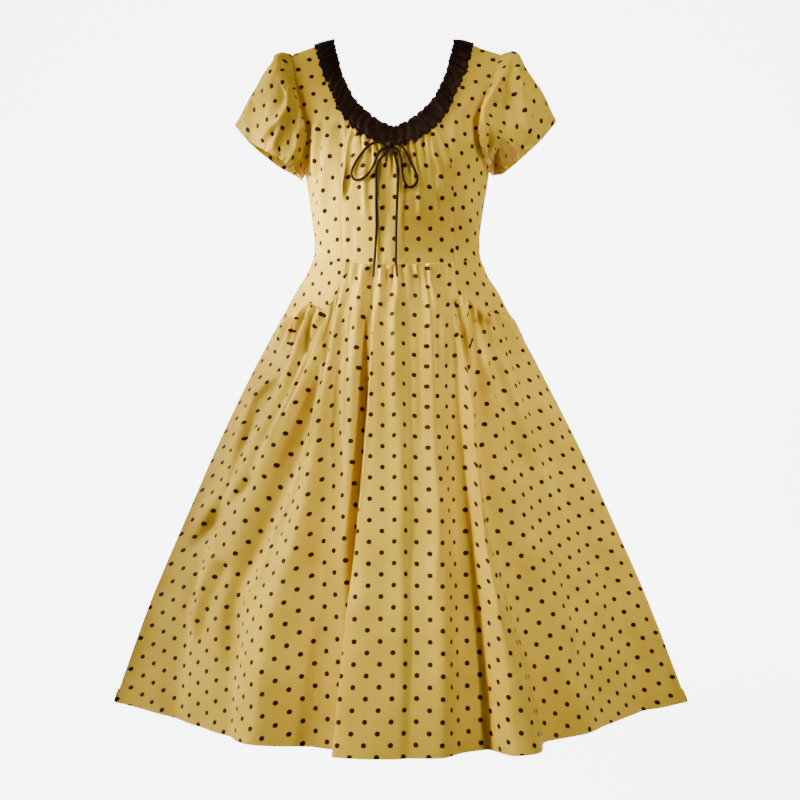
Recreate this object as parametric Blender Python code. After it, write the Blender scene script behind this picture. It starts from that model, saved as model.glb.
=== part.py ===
"""A-line dress with puff sleeves, a gathered round neck, hip yokes and a full gathered skirt.

Metres, +Z up. The front faces -Y and the wearer's left is at +X. The origin lies midway between the
two shoulder points of the neck, at the height of the shoulder seams, where the wearer carries it.
Every piece of cloth is a wall built on one of two forms: the torso, a stack of oval sections, and the
skirt, a stack of sections carrying a table of long folds. Gathers are short ridges at their seam.
"""
import math

import bmesh
import bpy
import numpy as np

# Driving sizes
WALL = 0.0012            # cloth wall
SEAM_GAP = 0.0003        # between two pieces sewn together
LAP = 0.0018             # from a panel's mid surface to the mid surface of a piece lapped on it
WAIST_Z = -0.340         # waist seam at the sides
WAIST_DIP = 0.013        # how much lower it runs at the centre front
HEM_Z = -1.0245          # floor-side edge of the skirt at the sides
HEM_DIP = 0.0200         # how much lower the hem hangs at the centre front
SHOULDER_SLOPE = 0.335   # fall of the shoulder seam per metre outward
NECK_HALF = 0.0932       # half the neck opening at the shoulder
NECK_SHIFT = -0.0045     # the neck hangs slightly off centre
CORD_RADIUS = 0.0020     # drawstring
SEAM_PLACE = 0.88        # where the neck seam lies across the trim, 0 inner edge, 1 outer edge

CLOTH = (0.70, 0.50, 0.19)
TRIM = (0.020, 0.012, 0.010)
METAL = (0.55, 0.42, 0.20)
TAPE = (0.62, 0.45, 0.18)

# Torso sections from the shoulder ridge (down 0) to the waist (down 1)
# down, height, front depth, back depth, half width
TORSO = [
    (0.000, 0.0000, 0.0000, 0.0000, 0.1900),
    (0.040, -0.0012, 0.0120, 0.0120, 0.1893),
    (0.080, -0.0050, 0.0240, 0.0240, 0.1878),
    (0.120, -0.0130, 0.0345, 0.0355, 0.1853),
    (0.180, -0.0280, 0.0475, 0.0500, 0.1808),
    (0.260, -0.0520, 0.0620, 0.0670, 0.1752),
    (0.360, -0.0850, 0.0790, 0.0815, 0.1680),
    (0.460, -0.1180, 0.0960, 0.0915, 0.1605),
    (0.560, -0.1500, 0.1105, 0.0978, 0.1528),
    (0.640, -0.1760, 0.1190, 0.1005, 0.1470),
    (0.710, -0.2000, 0.1220, 0.1010, 0.1425),
    (0.790, -0.2300, 0.1190, 0.0990, 0.1385),
    (0.870, -0.2680, 0.1090, 0.0950, 0.1328),
    (0.940, -0.3050, 0.0995, 0.0915, 0.1283),
    (0.975, -0.3250, 0.0970, 0.0905, 0.1280),
    (1.000, -0.3400, 0.0960, 0.0900, 0.1305),
]

# Skirt sections: height, half width, front depth, back depth, pointedness of the sides, shift in X
SKIRT = [
    (-0.3400, 0.1305, 0.0960, 0.0900, 1.00, 0.0000),
    (-0.3620, 0.1397, 0.1040, 0.0975, 1.05, 0.0000),
    (-0.3850, 0.1545, 0.1130, 0.1055, 1.13, 0.0000),
    (-0.4160, 0.1712, 0.1235, 0.1150, 1.26, 0.0000),
    (-0.4470, 0.1886, 0.1335, 0.1245, 1.42, 0.0000),
    (-0.5170, 0.2259, 0.1570, 0.1465, 1.76, 0.0000),
    (-0.6333, 0.2830, 0.1950, 0.1830, 2.12, 0.0020),
    (-0.7265, 0.3245, 0.2250, 0.2100, 2.32, 0.0030),
    (-0.8663, 0.3850, 0.2670, 0.2490, 2.50, 0.0040),
    (-1.0245, 0.4440, 0.3080, 0.2860, 2.60, 0.0060),
]

# Long folds of the front: each line runs from the waist to the hem, at X in metres, and stands out
# from its section (minus: sinks in) at four heights
FOLD_HEIGHTS = (-0.345, -0.4825, -0.700, -0.860, -1.0245)
# name, waist_x, hip_x, hip_out, mid_x, mid_out, low_x, low_out, hem_x, hem_out
FRONT_FOLDS = [
    ("v0", -0.115, -0.165, -0.006, -0.282, -0.010, -0.325, -0.010, -0.361, -0.008),
    ("a1", -0.105, -0.148, 0.008, -0.241, 0.012, -0.291, 0.006, -0.309, -0.002),
    ("v1", -0.097, -0.136, -0.004, -0.229, 0.011, -0.277, 0.006, -0.287, 0.000),
    ("a2", -0.088, -0.121, 0.006, -0.218, 0.012, -0.263, 0.005, -0.268, 0.003),
    ("v2", -0.0815, -0.107, -0.006, -0.174, -0.012, -0.236, -0.007, -0.240, 0.005),
    ("b1", -0.076, -0.095, 0.008, -0.126, 0.018, -0.172, 0.024, -0.194, 0.027),
    ("v3", -0.066, -0.080, -0.005, -0.096, -0.004, -0.111, -0.014, -0.127, -0.020),
    ("b2", -0.049, -0.060, 0.008, -0.069, 0.004, -0.082, -0.014, -0.096, -0.021),
    ("c_foot", -0.037, -0.041, -0.008, -0.057, -0.014, -0.071, -0.018, -0.086, -0.021),
    ("c_edge", -0.030, -0.035, 0.005, -0.049, 0.012, -0.065, 0.020, -0.080, 0.026),
    ("c_top", -0.024, -0.027, 0.008, -0.040, 0.014, -0.053, 0.022, -0.066, 0.027),
    ("v4", -0.014, -0.013, 0.000, -0.012, 0.010, -0.017, 0.018, -0.023, 0.023),
    ("d", -0.001, 0.002, 0.008, 0.005, 0.014, 0.005, 0.020, 0.002, 0.022),
    ("v5", 0.011, 0.019, -0.003, 0.019, 0.004, 0.021, 0.011, 0.019, 0.017),
    ("v6", 0.029, 0.040, -0.004, 0.033, 0.002, 0.037, 0.010, 0.031, 0.018),
    ("e", 0.048, 0.059, 0.008, 0.063, 0.014, 0.061, 0.017, 0.057, 0.021),
    ("v7", 0.074, 0.085, -0.006, 0.089, -0.010, 0.097, -0.009, 0.101, -0.006),
    ("f_foot", 0.081, 0.093, -0.001, 0.101, -0.004, 0.116, -0.005, 0.129, -0.006),
    ("f_edge", 0.0865, 0.100, 0.009, 0.110, 0.022, 0.128, 0.036, 0.138, 0.050),
    ("f_top", 0.0905, 0.106, 0.006, 0.118, 0.018, 0.139, 0.036, 0.158, 0.056),
    ("v8", 0.096, 0.119, -0.008, 0.143, -0.010, 0.184, -0.006, 0.212, 0.004),
    ("r1", 0.102, 0.132, 0.006, 0.172, 0.004, 0.224, 0.004, 0.260, 0.009),
    ("v9", 0.108, 0.146, -0.005, 0.205, -0.005, 0.266, -0.003, 0.310, 0.000),
    ("r2", 0.114, 0.160, 0.004, 0.229, 0.002, 0.302, -0.002, 0.352, -0.008),
    ("v10", 0.119, 0.175, -0.004, 0.254, -0.004, 0.334, -0.006, 0.384, -0.014),
    ("r3", 0.124, 0.190, 0.004, 0.284, 0.004, 0.367, 0.001, 0.416, -0.006),
]
YOKE_LINE_LEFT = "v2"     # the fold line under the inner edge of the yoke at -X
YOKE_LINE_RIGHT = "f_edge"

# Long folds of the back, the same columns, from +X round to -X
BACK_FOLDS = [
    ("g1", 0.116, 0.172, 0.004, 0.275, 0.004, 0.345, -0.002, 0.384, -0.008),
    ("g2", 0.101, 0.148, -0.005, 0.230, -0.008, 0.288, -0.012, 0.322, -0.018),
    ("g3", 0.087, 0.126, 0.006, 0.190, 0.012, 0.235, 0.014, 0.262, 0.012),
    ("g4", 0.073, 0.104, -0.006, 0.148, -0.010, 0.182, -0.010, 0.204, -0.008),
    ("g5", 0.059, 0.082, 0.008, 0.112, 0.018, 0.140, 0.028, 0.158, 0.036),
    ("g6", 0.045, 0.061, -0.006, 0.078, -0.010, 0.096, -0.014, 0.108, -0.018),
    ("g7", 0.030, 0.040, 0.006, 0.050, 0.012, 0.060, 0.020, 0.066, 0.026),
    ("g8", 0.015, 0.019, 0.000, 0.022, -0.002, 0.026, 0.000, 0.030, 0.002),
    ("centre", 0.000, 0.000, 0.000, 0.000, 0.000, 0.000, 0.002, 0.000, 0.004),
    ("h1", -0.014, -0.017, 0.000, -0.020, -0.004, -0.024, -0.004, -0.028, -0.004),
    ("h2", -0.028, -0.037, 0.006, -0.044, 0.010, -0.052, 0.012, -0.058, 0.014),
    ("h3", -0.041, -0.055, -0.006, -0.066, -0.008, -0.078, -0.008, -0.088, -0.008),
    ("h4", -0.053, -0.072, 0.007, -0.094, 0.014, -0.110, 0.024, -0.122, 0.034),
    ("h5", -0.066, -0.094, -0.006, -0.130, -0.010, -0.158, -0.014, -0.172, -0.020),
    ("h6", -0.079, -0.112, 0.008, -0.168, 0.018, -0.205, 0.026, -0.222, 0.030),
    ("h7", -0.092, -0.131, -0.005, -0.205, -0.010, -0.245, -0.008, -0.270, -0.004),
    ("h8", -0.104, -0.150, 0.006, -0.240, 0.012, -0.292, 0.010, -0.322, 0.004),
    ("h9", -0.118, -0.170, -0.004, -0.285, -0.008, -0.350, -0.012, -0.384, -0.014),
]

# Lower edge of the two front yokes, from the inner corner to the side seam: X, height
YOKE_EDGE_LEFT = [
    (-0.0907, -0.3992),
    (-0.1029, -0.4124),
    (-0.1121, -0.4188),
    (-0.1198, -0.4140),
    (-0.1338, -0.4082),
    (-0.1418, -0.4169),
    (-0.1499, -0.4285),
    (-0.1616, -0.4284),
    (-0.1754, -0.4269),
]
YOKE_EDGE_RIGHT = [
    (0.0920, -0.3977),
    (0.1063, -0.4048),
    (0.1133, -0.4090),
    (0.1260, -0.4184),
    (0.1359, -0.4246),
    (0.1470, -0.4174),
    (0.1602, -0.4228),
    (0.1656, -0.4286),
    (0.1770, -0.4285),
]

# Gathers: X where they leave the seam, half width, height, length
WAIST_GATHERS = [
    (-0.0770, 0.0050, 0.0020, 0.040),
    (-0.0660, 0.0050, 0.0014, 0.030),
    (-0.0500, 0.0085, 0.0034, 0.080),
    (-0.0235, 0.0065, 0.0040, 0.075),
    (-0.0115, 0.0045, 0.0026, 0.040),
    (-0.0010, 0.0050, 0.0036, 0.070),
    (0.0130, 0.0060, 0.0034, 0.060),
    (0.0265, 0.0050, 0.0026, 0.045),
    (0.0360, 0.0042, 0.0022, 0.035),
    (0.0465, 0.0048, 0.0036, 0.080),
]
YOKE_GATHERS = [
    (-0.1640, 0.0060, 0.0030, 0.050),
    (-0.1520, 0.0050, 0.0026, 0.060),
    (-0.1400, 0.0052, 0.0034, 0.075),
    (-0.1260, 0.0058, 0.0036, 0.060),
    (-0.1130, 0.0052, 0.0026, 0.040),
    (-0.1000, 0.0048, 0.0024, 0.050),
    (0.1010, 0.0050, 0.0026, 0.070),
    (0.1120, 0.0048, 0.0030, 0.060),
    (0.1230, 0.0052, 0.0034, 0.075),
    (0.1350, 0.0050, 0.0030, 0.055),
    (0.1470, 0.0052, 0.0028, 0.060),
    (0.1590, 0.0055, 0.0022, 0.045),
]
BACK_GATHERS = [
    (0.1000, 0.0060, 0.0024, 0.050),
    (0.0860, 0.0060, 0.0032, 0.070),
    (0.0730, 0.0050, 0.0026, 0.050),
    (0.0600, 0.0060, 0.0038, 0.080),
    (0.0470, 0.0052, 0.0026, 0.045),
    (0.0340, 0.0060, 0.0034, 0.070),
    (-0.0320, 0.0058, 0.0034, 0.065),
    (-0.0450, 0.0050, 0.0026, 0.045),
    (-0.0560, 0.0056, 0.0036, 0.080),
    (-0.0690, 0.0050, 0.0024, 0.050),
    (-0.0810, 0.0060, 0.0036, 0.070),
    (-0.0960, 0.0060, 0.0024, 0.050),
]
# Gathers of the neckline on the centre front: X at the neck seam, half width, height, length
NECK_GATHERS = [
    (-0.0600, 0.0055, 0.0016, 0.075),
    (-0.0485, 0.0055, 0.0026, 0.110),
    (-0.0365, 0.0050, 0.0030, 0.075),
    (-0.0255, 0.0048, 0.0028, 0.115),
    (-0.0145, 0.0048, 0.0024, 0.060),
    (-0.0035, 0.0048, 0.0028, 0.080),
    (0.0075, 0.0050, 0.0024, 0.060),
    (0.0190, 0.0052, 0.0028, 0.095),
    (0.0300, 0.0052, 0.0026, 0.115),
    (0.0415, 0.0050, 0.0026, 0.060),
    (0.0530, 0.0050, 0.0020, 0.045),
]

# Neckline, from the centre to the shoulder: inner X, inner height, outer X, outer height of the trim
NECK_FRONT = [
    (0.0000, -0.1506, 0.0000, -0.1765),
    (0.0201, -0.1414, 0.0290, -0.1708),
    (0.0434, -0.1214, 0.0590, -0.1500),
    (0.0603, -0.1010, 0.0795, -0.1215),
    (0.0696, -0.0810, 0.0915, -0.0935),
    (0.0782, -0.0606, 0.1025, -0.0680),
    (0.0832, -0.0400, 0.1110, -0.0440),
    (0.0890, -0.0185, 0.1165, -0.0235),
]
NECK_BACK = [
    (0.0000, -0.1310, 0.0000, -0.1565),
    (0.0250, -0.1285, 0.0300, -0.1540),
    (0.0480, -0.1200, 0.0590, -0.1430),
    (0.0660, -0.1050, 0.0840, -0.1230),
    (0.0780, -0.0850, 0.1010, -0.0970),
    (0.0860, -0.0600, 0.1105, -0.0680),
    (0.0905, -0.0320, 0.1160, -0.0390),
    (0.0925, -0.0130, 0.1185, -0.0200),
]
NECK_OUTER_AT_SHOULDER = 0.1200
TIP_X = 0.1622            # shoulder tip

# Armholes, from just below the shoulder tip to just above the underarm: X, height
ARMHOLE_FRONT_LEFT = [
    (0.1580, -0.0450),
    (0.1535, -0.0760),
    (0.1475, -0.1100),
    (0.1415, -0.1450),
    (0.1378, -0.1750),
    (0.1385, -0.1960),
]
ARMHOLE_FRONT_RIGHT = [
    (0.1520, -0.0450),
    (0.1395, -0.0760),
    (0.1285, -0.1100),
    (0.1235, -0.1420),
    (0.1270, -0.1700),
    (0.1345, -0.1890),
]
ARMHOLE_BACK = [
    (0.1545, -0.0450),
    (0.1460, -0.0760),
    (0.1385, -0.1100),
    (0.1345, -0.1430),
    (0.1350, -0.1720),
    (0.1385, -0.1920),
]
UNDERARM_LEFT = 0.727     # down position of the underarm on the side seam
UNDERARM_RIGHT = 0.715

# Sleeve hems as seen from outside, once round from the top: share of the round, distance out in X,
# Y, height
SLEEVE_HEM_LEFT = [
    (0.00, 0.2505, 0.004, -0.1305),
    (0.06, 0.2352, -0.025, -0.1498),
    (0.13, 0.2142, -0.045, -0.1682),
    (0.21, 0.1912, -0.060, -0.1822),
    (0.32, 0.1640, -0.060, -0.1985),
    (0.42, 0.1500, -0.040, -0.2110),
    (0.50, 0.1480, 0.000, -0.2150),
    (0.58, 0.1525, 0.024, -0.2090),
    (0.68, 0.1630, 0.044, -0.2005),
    (0.78, 0.1830, 0.056, -0.1890),
    (0.88, 0.2080, 0.052, -0.1710),
    (0.95, 0.2330, 0.032, -0.1500),
]
SLEEVE_HEM_RIGHT = [
    (0.00, 0.2475, 0.004, -0.1230),
    (0.06, 0.2303, -0.030, -0.1444),
    (0.13, 0.2132, -0.046, -0.1605),
    (0.22, 0.1854, -0.062, -0.1770),
    (0.29, 0.1680, -0.068, -0.1674),
    (0.36, 0.1510, -0.064, -0.1772),
    (0.42, 0.1470, -0.048, -0.1900),
    (0.50, 0.1490, 0.000, -0.2080),
    (0.57, 0.1520, 0.028, -0.2030),
    (0.67, 0.1650, 0.048, -0.1990),
    (0.76, 0.1830, 0.058, -0.1850),
    (0.86, 0.2060, 0.054, -0.1650),
    (0.94, 0.2300, 0.034, -0.1430),
]
# How far the sleeve stands off the straight line from armhole to hem: along, share of the fullness
PUFF = [(0.00, 0.00), (0.06, 0.82), (0.16, 1.00), (0.38, 0.95), (0.62, 0.74), (0.82, 0.42), (1.00, 0.00)]
# round, fullness
PUFF_ROUND = [(0.00, 0.0165), (0.12, 0.020), (0.28, 0.016), (0.38, 0.006), (0.44, 0.0005),
              (0.50, 0.0), (0.56, 0.0005), (0.64, 0.006), (0.74, 0.014), (0.88, 0.019), (1.00, 0.0165)]
# Sleeve ridges: round at the armhole, round at the hem, half width, height, where along it peaks, reach
SLEEVE_RIDGES_LEFT = [
    (0.045, 0.050, 0.035, 0.0040, 0.14, 0.55),
    (0.110, 0.090, 0.030, 0.0030, 0.10, 0.35),
    (0.200, 0.150, 0.040, 0.0085, 0.55, 1.05),
    (0.280, 0.280, 0.035, 0.0040, 0.20, 0.60),
    (0.360, 0.370, 0.030, 0.0025, 0.12, 0.40),
    (0.700, 0.720, 0.035, 0.0030, 0.15, 0.50),
    (0.790, 0.800, 0.035, 0.0040, 0.30, 0.80),
    (0.880, 0.880, 0.030, 0.0030, 0.12, 0.40),
    (0.955, 0.950, 0.030, 0.0030, 0.12, 0.40),
]
SLEEVE_RIDGES_RIGHT = [
    (0.030, 0.045, 0.030, 0.0032, 0.12, 0.45),
    (0.095, 0.110, 0.035, 0.0070, 0.45, 1.00),
    (0.170, 0.200, 0.030, 0.0030, 0.12, 0.40),
    (0.245, 0.250, 0.040, 0.0045, 0.30, 0.95),
    (0.340, 0.360, 0.030, 0.0026, 0.15, 0.45),
    (0.700, 0.720, 0.035, 0.0030, 0.15, 0.50),
    (0.790, 0.800, 0.035, 0.0040, 0.30, 0.80),
    (0.880, 0.880, 0.030, 0.0030, 0.12, 0.40),
    (0.955, 0.950, 0.030, 0.0030, 0.12, 0.40),
]

# Drawstring, each strand from the knot outward: X, height, distance in front of the bodice
KNOT = (-0.0100, -0.1790, 0.0068)
KNOT_SIZE = (0.0068, 0.0042, 0.0056)
LOOP_LEFT = [
    (-0.0162, -0.1762, 0.0070),
    (-0.0280, -0.1737, 0.0068),
    (-0.0420, -0.1790, 0.0056),
    (-0.0540, -0.1925, 0.0048),
    (-0.0640, -0.2080, 0.0044),
    (-0.0675, -0.2200, 0.0044),
    (-0.0630, -0.2285, 0.0046),
    (-0.0530, -0.2280, 0.0048),
    (-0.0420, -0.2200, 0.0050),
    (-0.0345, -0.2080, 0.0054),
    (-0.0295, -0.1960, 0.0058),
    (-0.0240, -0.1862, 0.0064),
    (-0.0162, -0.1824, 0.0070),
]
LOOP_RIGHT = [
    (-0.0029, -0.1762, 0.0070),
    (0.0060, -0.1792, 0.0066),
    (0.0140, -0.1900, 0.0056),
    (0.0215, -0.2050, 0.0048),
    (0.0280, -0.2190, 0.0046),
    (0.0305, -0.2300, 0.0044),
    (0.0250, -0.2385, 0.0046),
    (0.0170, -0.2400, 0.0048),
    (0.0110, -0.2320, 0.0050),
    (0.0085, -0.2200, 0.0052),
    (0.0070, -0.2060, 0.0056),
    (0.0037, -0.1900, 0.0064),
    (-0.0024, -0.1824, 0.0070),
]
TAIL_LEFT = [
    (-0.0124, -0.1848, 0.0066),
    (-0.0185, -0.1925, 0.0060),
    (-0.0285, -0.2060, 0.0052),
    (-0.0305, -0.2300, 0.0046),
    (-0.0308, -0.2620, 0.0042),
    (-0.0306, -0.2960, 0.0040),
    (-0.0320, -0.3260, 0.0040),
    (-0.0338, -0.3500, 0.0050),
    (-0.0350, -0.3720, 0.0078),
]
TAIL_RIGHT = [
    (-0.0076, -0.1848, 0.0066),
    (-0.0032, -0.1940, 0.0060),
    (0.0008, -0.2120, 0.0052),
    (0.0012, -0.2360, 0.0046),
    (0.0003, -0.2640, 0.0042),
    (-0.0008, -0.2950, 0.0040),
    (-0.0010, -0.3250, 0.0040),
    (-0.0014, -0.3500, 0.0050),
    (0.0002, -0.3725, 0.0078),
]

# Zip at the centre back
TAPE_HALF = 0.011
TAPE_WALL = 0.0010
SLIDER_Z = -0.1660
SLIDER_SIZE = (0.0062, 0.0018, 0.0080)
EAR_WALL = 0.0011
EAR_RISE = 0.0026
PULL_SIZE = (0.0034, 0.0012, 0.0150)
PULL_CLEARANCE = 0.0003

TORSO_ARRAY = np.array(TORSO)
SKIRT_ARRAY = np.array(SKIRT)


def curve_at(xs, ys, x):
    """Monotone cubic through (xs, ys), read at x; xs may fall as well as rise."""
    xs = np.asarray(xs, float)
    ys = np.asarray(ys, float)
    x = np.asarray(x, float)
    if xs[0] > xs[-1]:
        xs = -xs
        x = -x
    h = np.diff(xs)
    d = np.diff(ys) / h
    m = np.empty(len(xs))
    m[0] = d[0]
    m[-1] = d[-1]
    same = d[:-1] * d[1:] > 0
    w1 = 2 * h[1:] + h[:-1]
    w2 = h[1:] + 2 * h[:-1]
    with np.errstate(divide="ignore", invalid="ignore"):
        mean = (w1 + w2) / (w1 / d[:-1] + w2 / d[1:])
    m[1:-1] = np.where(same, mean, 0.0)
    k = np.clip(np.searchsorted(xs, x) - 1, 0, len(xs) - 2)
    t = np.clip((x - xs[k]) / h[k], 0.0, 1.0)
    t2 = t * t
    t3 = t2 * t
    a = (2 * t3 - 3 * t2 + 1) * ys[k] + (t3 - 2 * t2 + t) * h[k] * m[k]
    b = (3 * t2 - 2 * t3) * ys[k + 1] + (t3 - t2) * h[k] * m[k + 1]
    return a + b


def step(x):
    """Smooth 0 to 1."""
    x = np.clip(x, 0.0, 1.0)
    return x * x * (3 - 2 * x)


def bump(x):
    """Smooth ridge: 1 at 0, 0 at -1 and 1."""
    return np.where(np.abs(x) < 1, np.cos(np.clip(x, -1, 1) * math.pi / 2) ** 2, 0.0)


def unit(v):
    """Rows of v at length 1."""
    return v / np.maximum(np.linalg.norm(v, axis=-1, keepdims=True), 1e-12)


# Torso form

DOWNS = np.linspace(0.0, 1.0, 1201)
TORSO_FINE = [curve_at(TORSO_ARRAY[:, 0], TORSO_ARRAY[:, c], DOWNS) for c in range(1, 5)]
HEIGHTS = np.linspace(HEM_Z, WAIST_Z, 1201)
SKIRT_FINE = [curve_at(SKIRT_ARRAY[:, 0], SKIRT_ARRAY[:, c], HEIGHTS) for c in range(1, 6)]


def torso(turn, down):
    """Points of the torso form: turn in degrees from the centre front to +X, down 0 to 1."""
    turn, down = np.broadcast_arrays(np.asarray(turn, float), np.asarray(down, float))
    height, front, back, half = [np.interp(down, DOWNS, column) for column in TORSO_FINE]
    sn = np.sin(np.radians(turn))
    cs = np.cos(np.radians(turn))
    x = half * sn
    depth = np.where(cs > 0, front, back)
    # the bust fills out beside the centre front
    fill = 0.006 * bump((np.abs(turn) - 36) / 30) * bump((down - 0.72) / 0.26)
    y = -depth * cs - np.where(cs > 0, fill, 0.0)
    beyond = np.abs(x) - 0.1
    fall = SHOULDER_SLOPE * 0.5 * (beyond + np.sqrt(beyond ** 2 + 0.004 ** 2))
    dip = WAIST_DIP * np.clip(cs, 0, 1) ** 2 * step((down - 0.7) / 0.3)
    z = height - fall * (1 - step(down / 0.62)) - dip
    return np.stack([x, y, z], axis=-1)


def torso_normal(turn, down):
    """Outward normals of the torso form."""
    turn, down = np.broadcast_arrays(np.asarray(turn, float), np.asarray(down, float))
    lo = np.clip(down - 0.004, 0.0, 1.0)
    hi = np.clip(down + 0.004, 0.0, 1.0)
    fallwards = torso(turn, hi) - torso(turn, lo)
    along = torso(turn + 0.5, down) - torso(turn - 0.5, down)
    return unit(np.cross(fallwards, along))


def locate(x, z, back=False):
    """Turn and down of the torso point at lateral x and height z."""
    lo = 0.0
    hi = 1.0
    for _ in range(30):
        mid = 0.5 * (lo + hi)
        half = float(np.interp(mid, DOWNS, TORSO_FINE[3]))
        turn = math.degrees(math.asin(max(-1.0, min(1.0, x / half))))
        if back:
            turn = 180.0 - turn
        if torso(turn, mid)[2] > z:
            lo = mid
        else:
            hi = mid
    return turn, mid


def clear_of_torso(points, gap):
    """Moves points that come nearer to the torso form than gap straight outward."""
    x, y, z = points.T
    turn = np.degrees(np.arctan2(x / 0.145, -y / 0.115))
    for _ in range(3):
        lo = np.zeros(len(x))
        hi = np.ones(len(x))
        for _ in range(24):
            mid = 0.5 * (lo + hi)
            above = torso(turn, mid)[:, 2] > z
            lo = np.where(above, mid, lo)
            hi = np.where(above, hi, mid)
        here = torso(turn, mid)
        half = np.interp(mid, DOWNS, TORSO_FINE[3])
        deep = np.where(y < 0, np.interp(mid, DOWNS, TORSO_FINE[1]), np.interp(mid, DOWNS, TORSO_FINE[2]))
        turn = np.degrees(np.arctan2(x / half, -y / np.maximum(deep, 0.02)))
    far = np.hypot(here[:, 0], here[:, 1])
    own = np.hypot(x, y)
    need = np.maximum(far + gap - own, 0.0) * (np.abs(here[:, 2] - z) < 0.01)
    out = points.copy()
    out[:, 0] += x / own * need
    out[:, 1] += y / own * need
    return out


def ridge_turn(x, back=False):
    """Turn of the point at x on the shoulder ridge."""
    turn = math.degrees(math.asin(x / TORSO[0][4]))
    return 180.0 - turn if back else turn


def neck_line(side, back, across):
    """Turn and down along one half of the neck, centre to shoulder, at a share across the trim."""
    table = NECK_BACK if back else NECK_FRONT
    points = []
    for inner_x, inner_z, outer_x, outer_z in table:
        ends = [locate(side * inner_x + NECK_SHIFT, inner_z, back)]
        ends.append(locate(side * outer_x + NECK_SHIFT, outer_z, back))
        points.append([(1 - across) * a + across * b for a, b in zip(*ends)])
    x = (1 - across) * NECK_HALF + across * NECK_OUTER_AT_SHOULDER
    points.append([ridge_turn(side * x + NECK_SHIFT, back), 0.0])
    points = np.array(points)
    if back:
        points[:, 0] %= 360.0
    place = torso(points[:, 0], points[:, 1])
    run = np.concatenate([[0], np.cumsum(np.linalg.norm(np.diff(place, axis=0), axis=1))])
    return points, run / run[-1]


def read_line(line, t):
    """Turn and down at share t of a line."""
    points, run = line
    return np.stack([curve_at(run, points[:, 0], t), curve_at(run, points[:, 1], t)], axis=-1)


def armhole_line(side, back):
    """Turn and down of half an armhole, underarm to shoulder tip."""
    if back:
        table = ARMHOLE_BACK
    else:
        table = ARMHOLE_FRONT_RIGHT if side > 0 else ARMHOLE_FRONT_LEFT
    under = UNDERARM_RIGHT if side > 0 else UNDERARM_LEFT
    points = [[90.0 * side % 360 if back else 90.0 * side, under]]
    for x, z in reversed(table):
        turn, down = locate(side * x, z, back)
        points.append([turn % 360 if back else turn, down])
    tip = ridge_turn(side * TIP_X, back)
    points.append([tip % 360 if back else tip, 0.0])
    points = np.array(points)
    place = torso(points[:, 0], points[:, 1])
    run = np.concatenate([[0], np.cumsum(np.linalg.norm(np.diff(place, axis=0), axis=1))])
    return points, run / run[-1]


def princess_line(side):
    """Turn and down of the front seam from the waist to the neck seam."""
    end = read_line(neck_line(side, False, SEAM_PLACE), PRINCESS_AT_NECK)
    waist = 42.0 if side > 0 else -40.0
    points = [
        [waist, 1.0],
        [waist + 0.5 * side, 0.93],
        [38.0 * side, 0.81],
        [34.0 * side, 0.71],
        [0.5 * (30.0 * side + end[0]), 0.5 * (0.6 + end[1])],
        [end[0], end[1]],
    ]
    points = np.array(points)
    place = torso(points[:, 0], points[:, 1])
    run = np.concatenate([[0], np.cumsum(np.linalg.norm(np.diff(place, axis=0), axis=1))])
    return points, run / run[-1]


PRINCESS_AT_NECK = 0.38


# Skirt form


def skirt_section(z):
    """Half width, front depth, back depth, pointedness and shift at height z."""
    return [np.interp(z, HEIGHTS, column) for column in SKIRT_FINE]


def waist_z(turn):
    """Height of the waist seam."""
    cs = np.cos(np.radians(turn))
    return WAIST_Z - WAIST_DIP * np.clip(cs, 0, 1) ** 2


def skirt_base(turn, z):
    """Points of the plain skirt form; its sections follow the dip of the waist seam and of the hem."""
    turn, z = np.broadcast_arrays(np.asarray(turn, float), np.asarray(z, float))
    seam = waist_z(turn)
    dip = (WAIST_Z - seam) * (1 - step((seam - z) / 0.12))
    half, front, back, power, shift = skirt_section(z + dip)
    sn = np.sin(np.radians(turn))
    cs = np.cos(np.radians(turn))
    size = np.maximum(np.abs(cs), 1e-9) ** power
    y = np.where(cs > 0, -front, back) * size
    low = np.clip((seam - z) / (seam - HEM_Z), 0, 1)
    return np.stack([half * sn + shift, y, z - HEM_DIP * low * np.clip(cs, 0, 1) ** 2], axis=-1)


def skirt_outward(turn, z):
    """Level outward direction of the plain skirt form."""
    along = skirt_base(turn + 0.4, z) - skirt_base(turn - 0.4, z)
    out = np.stack([along[..., 1], -along[..., 0], 0 * along[..., 0]], axis=-1)
    return unit(out)


def skirt_normal(turn, z):
    """Outward normal of the plain skirt form, level at the waist seam."""
    along = skirt_base(turn + 0.4, z) - skirt_base(turn - 0.4, z)
    down = skirt_base(turn, z - 0.004) - skirt_base(turn, z + 0.004)
    return unit(np.cross(down, along))


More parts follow.
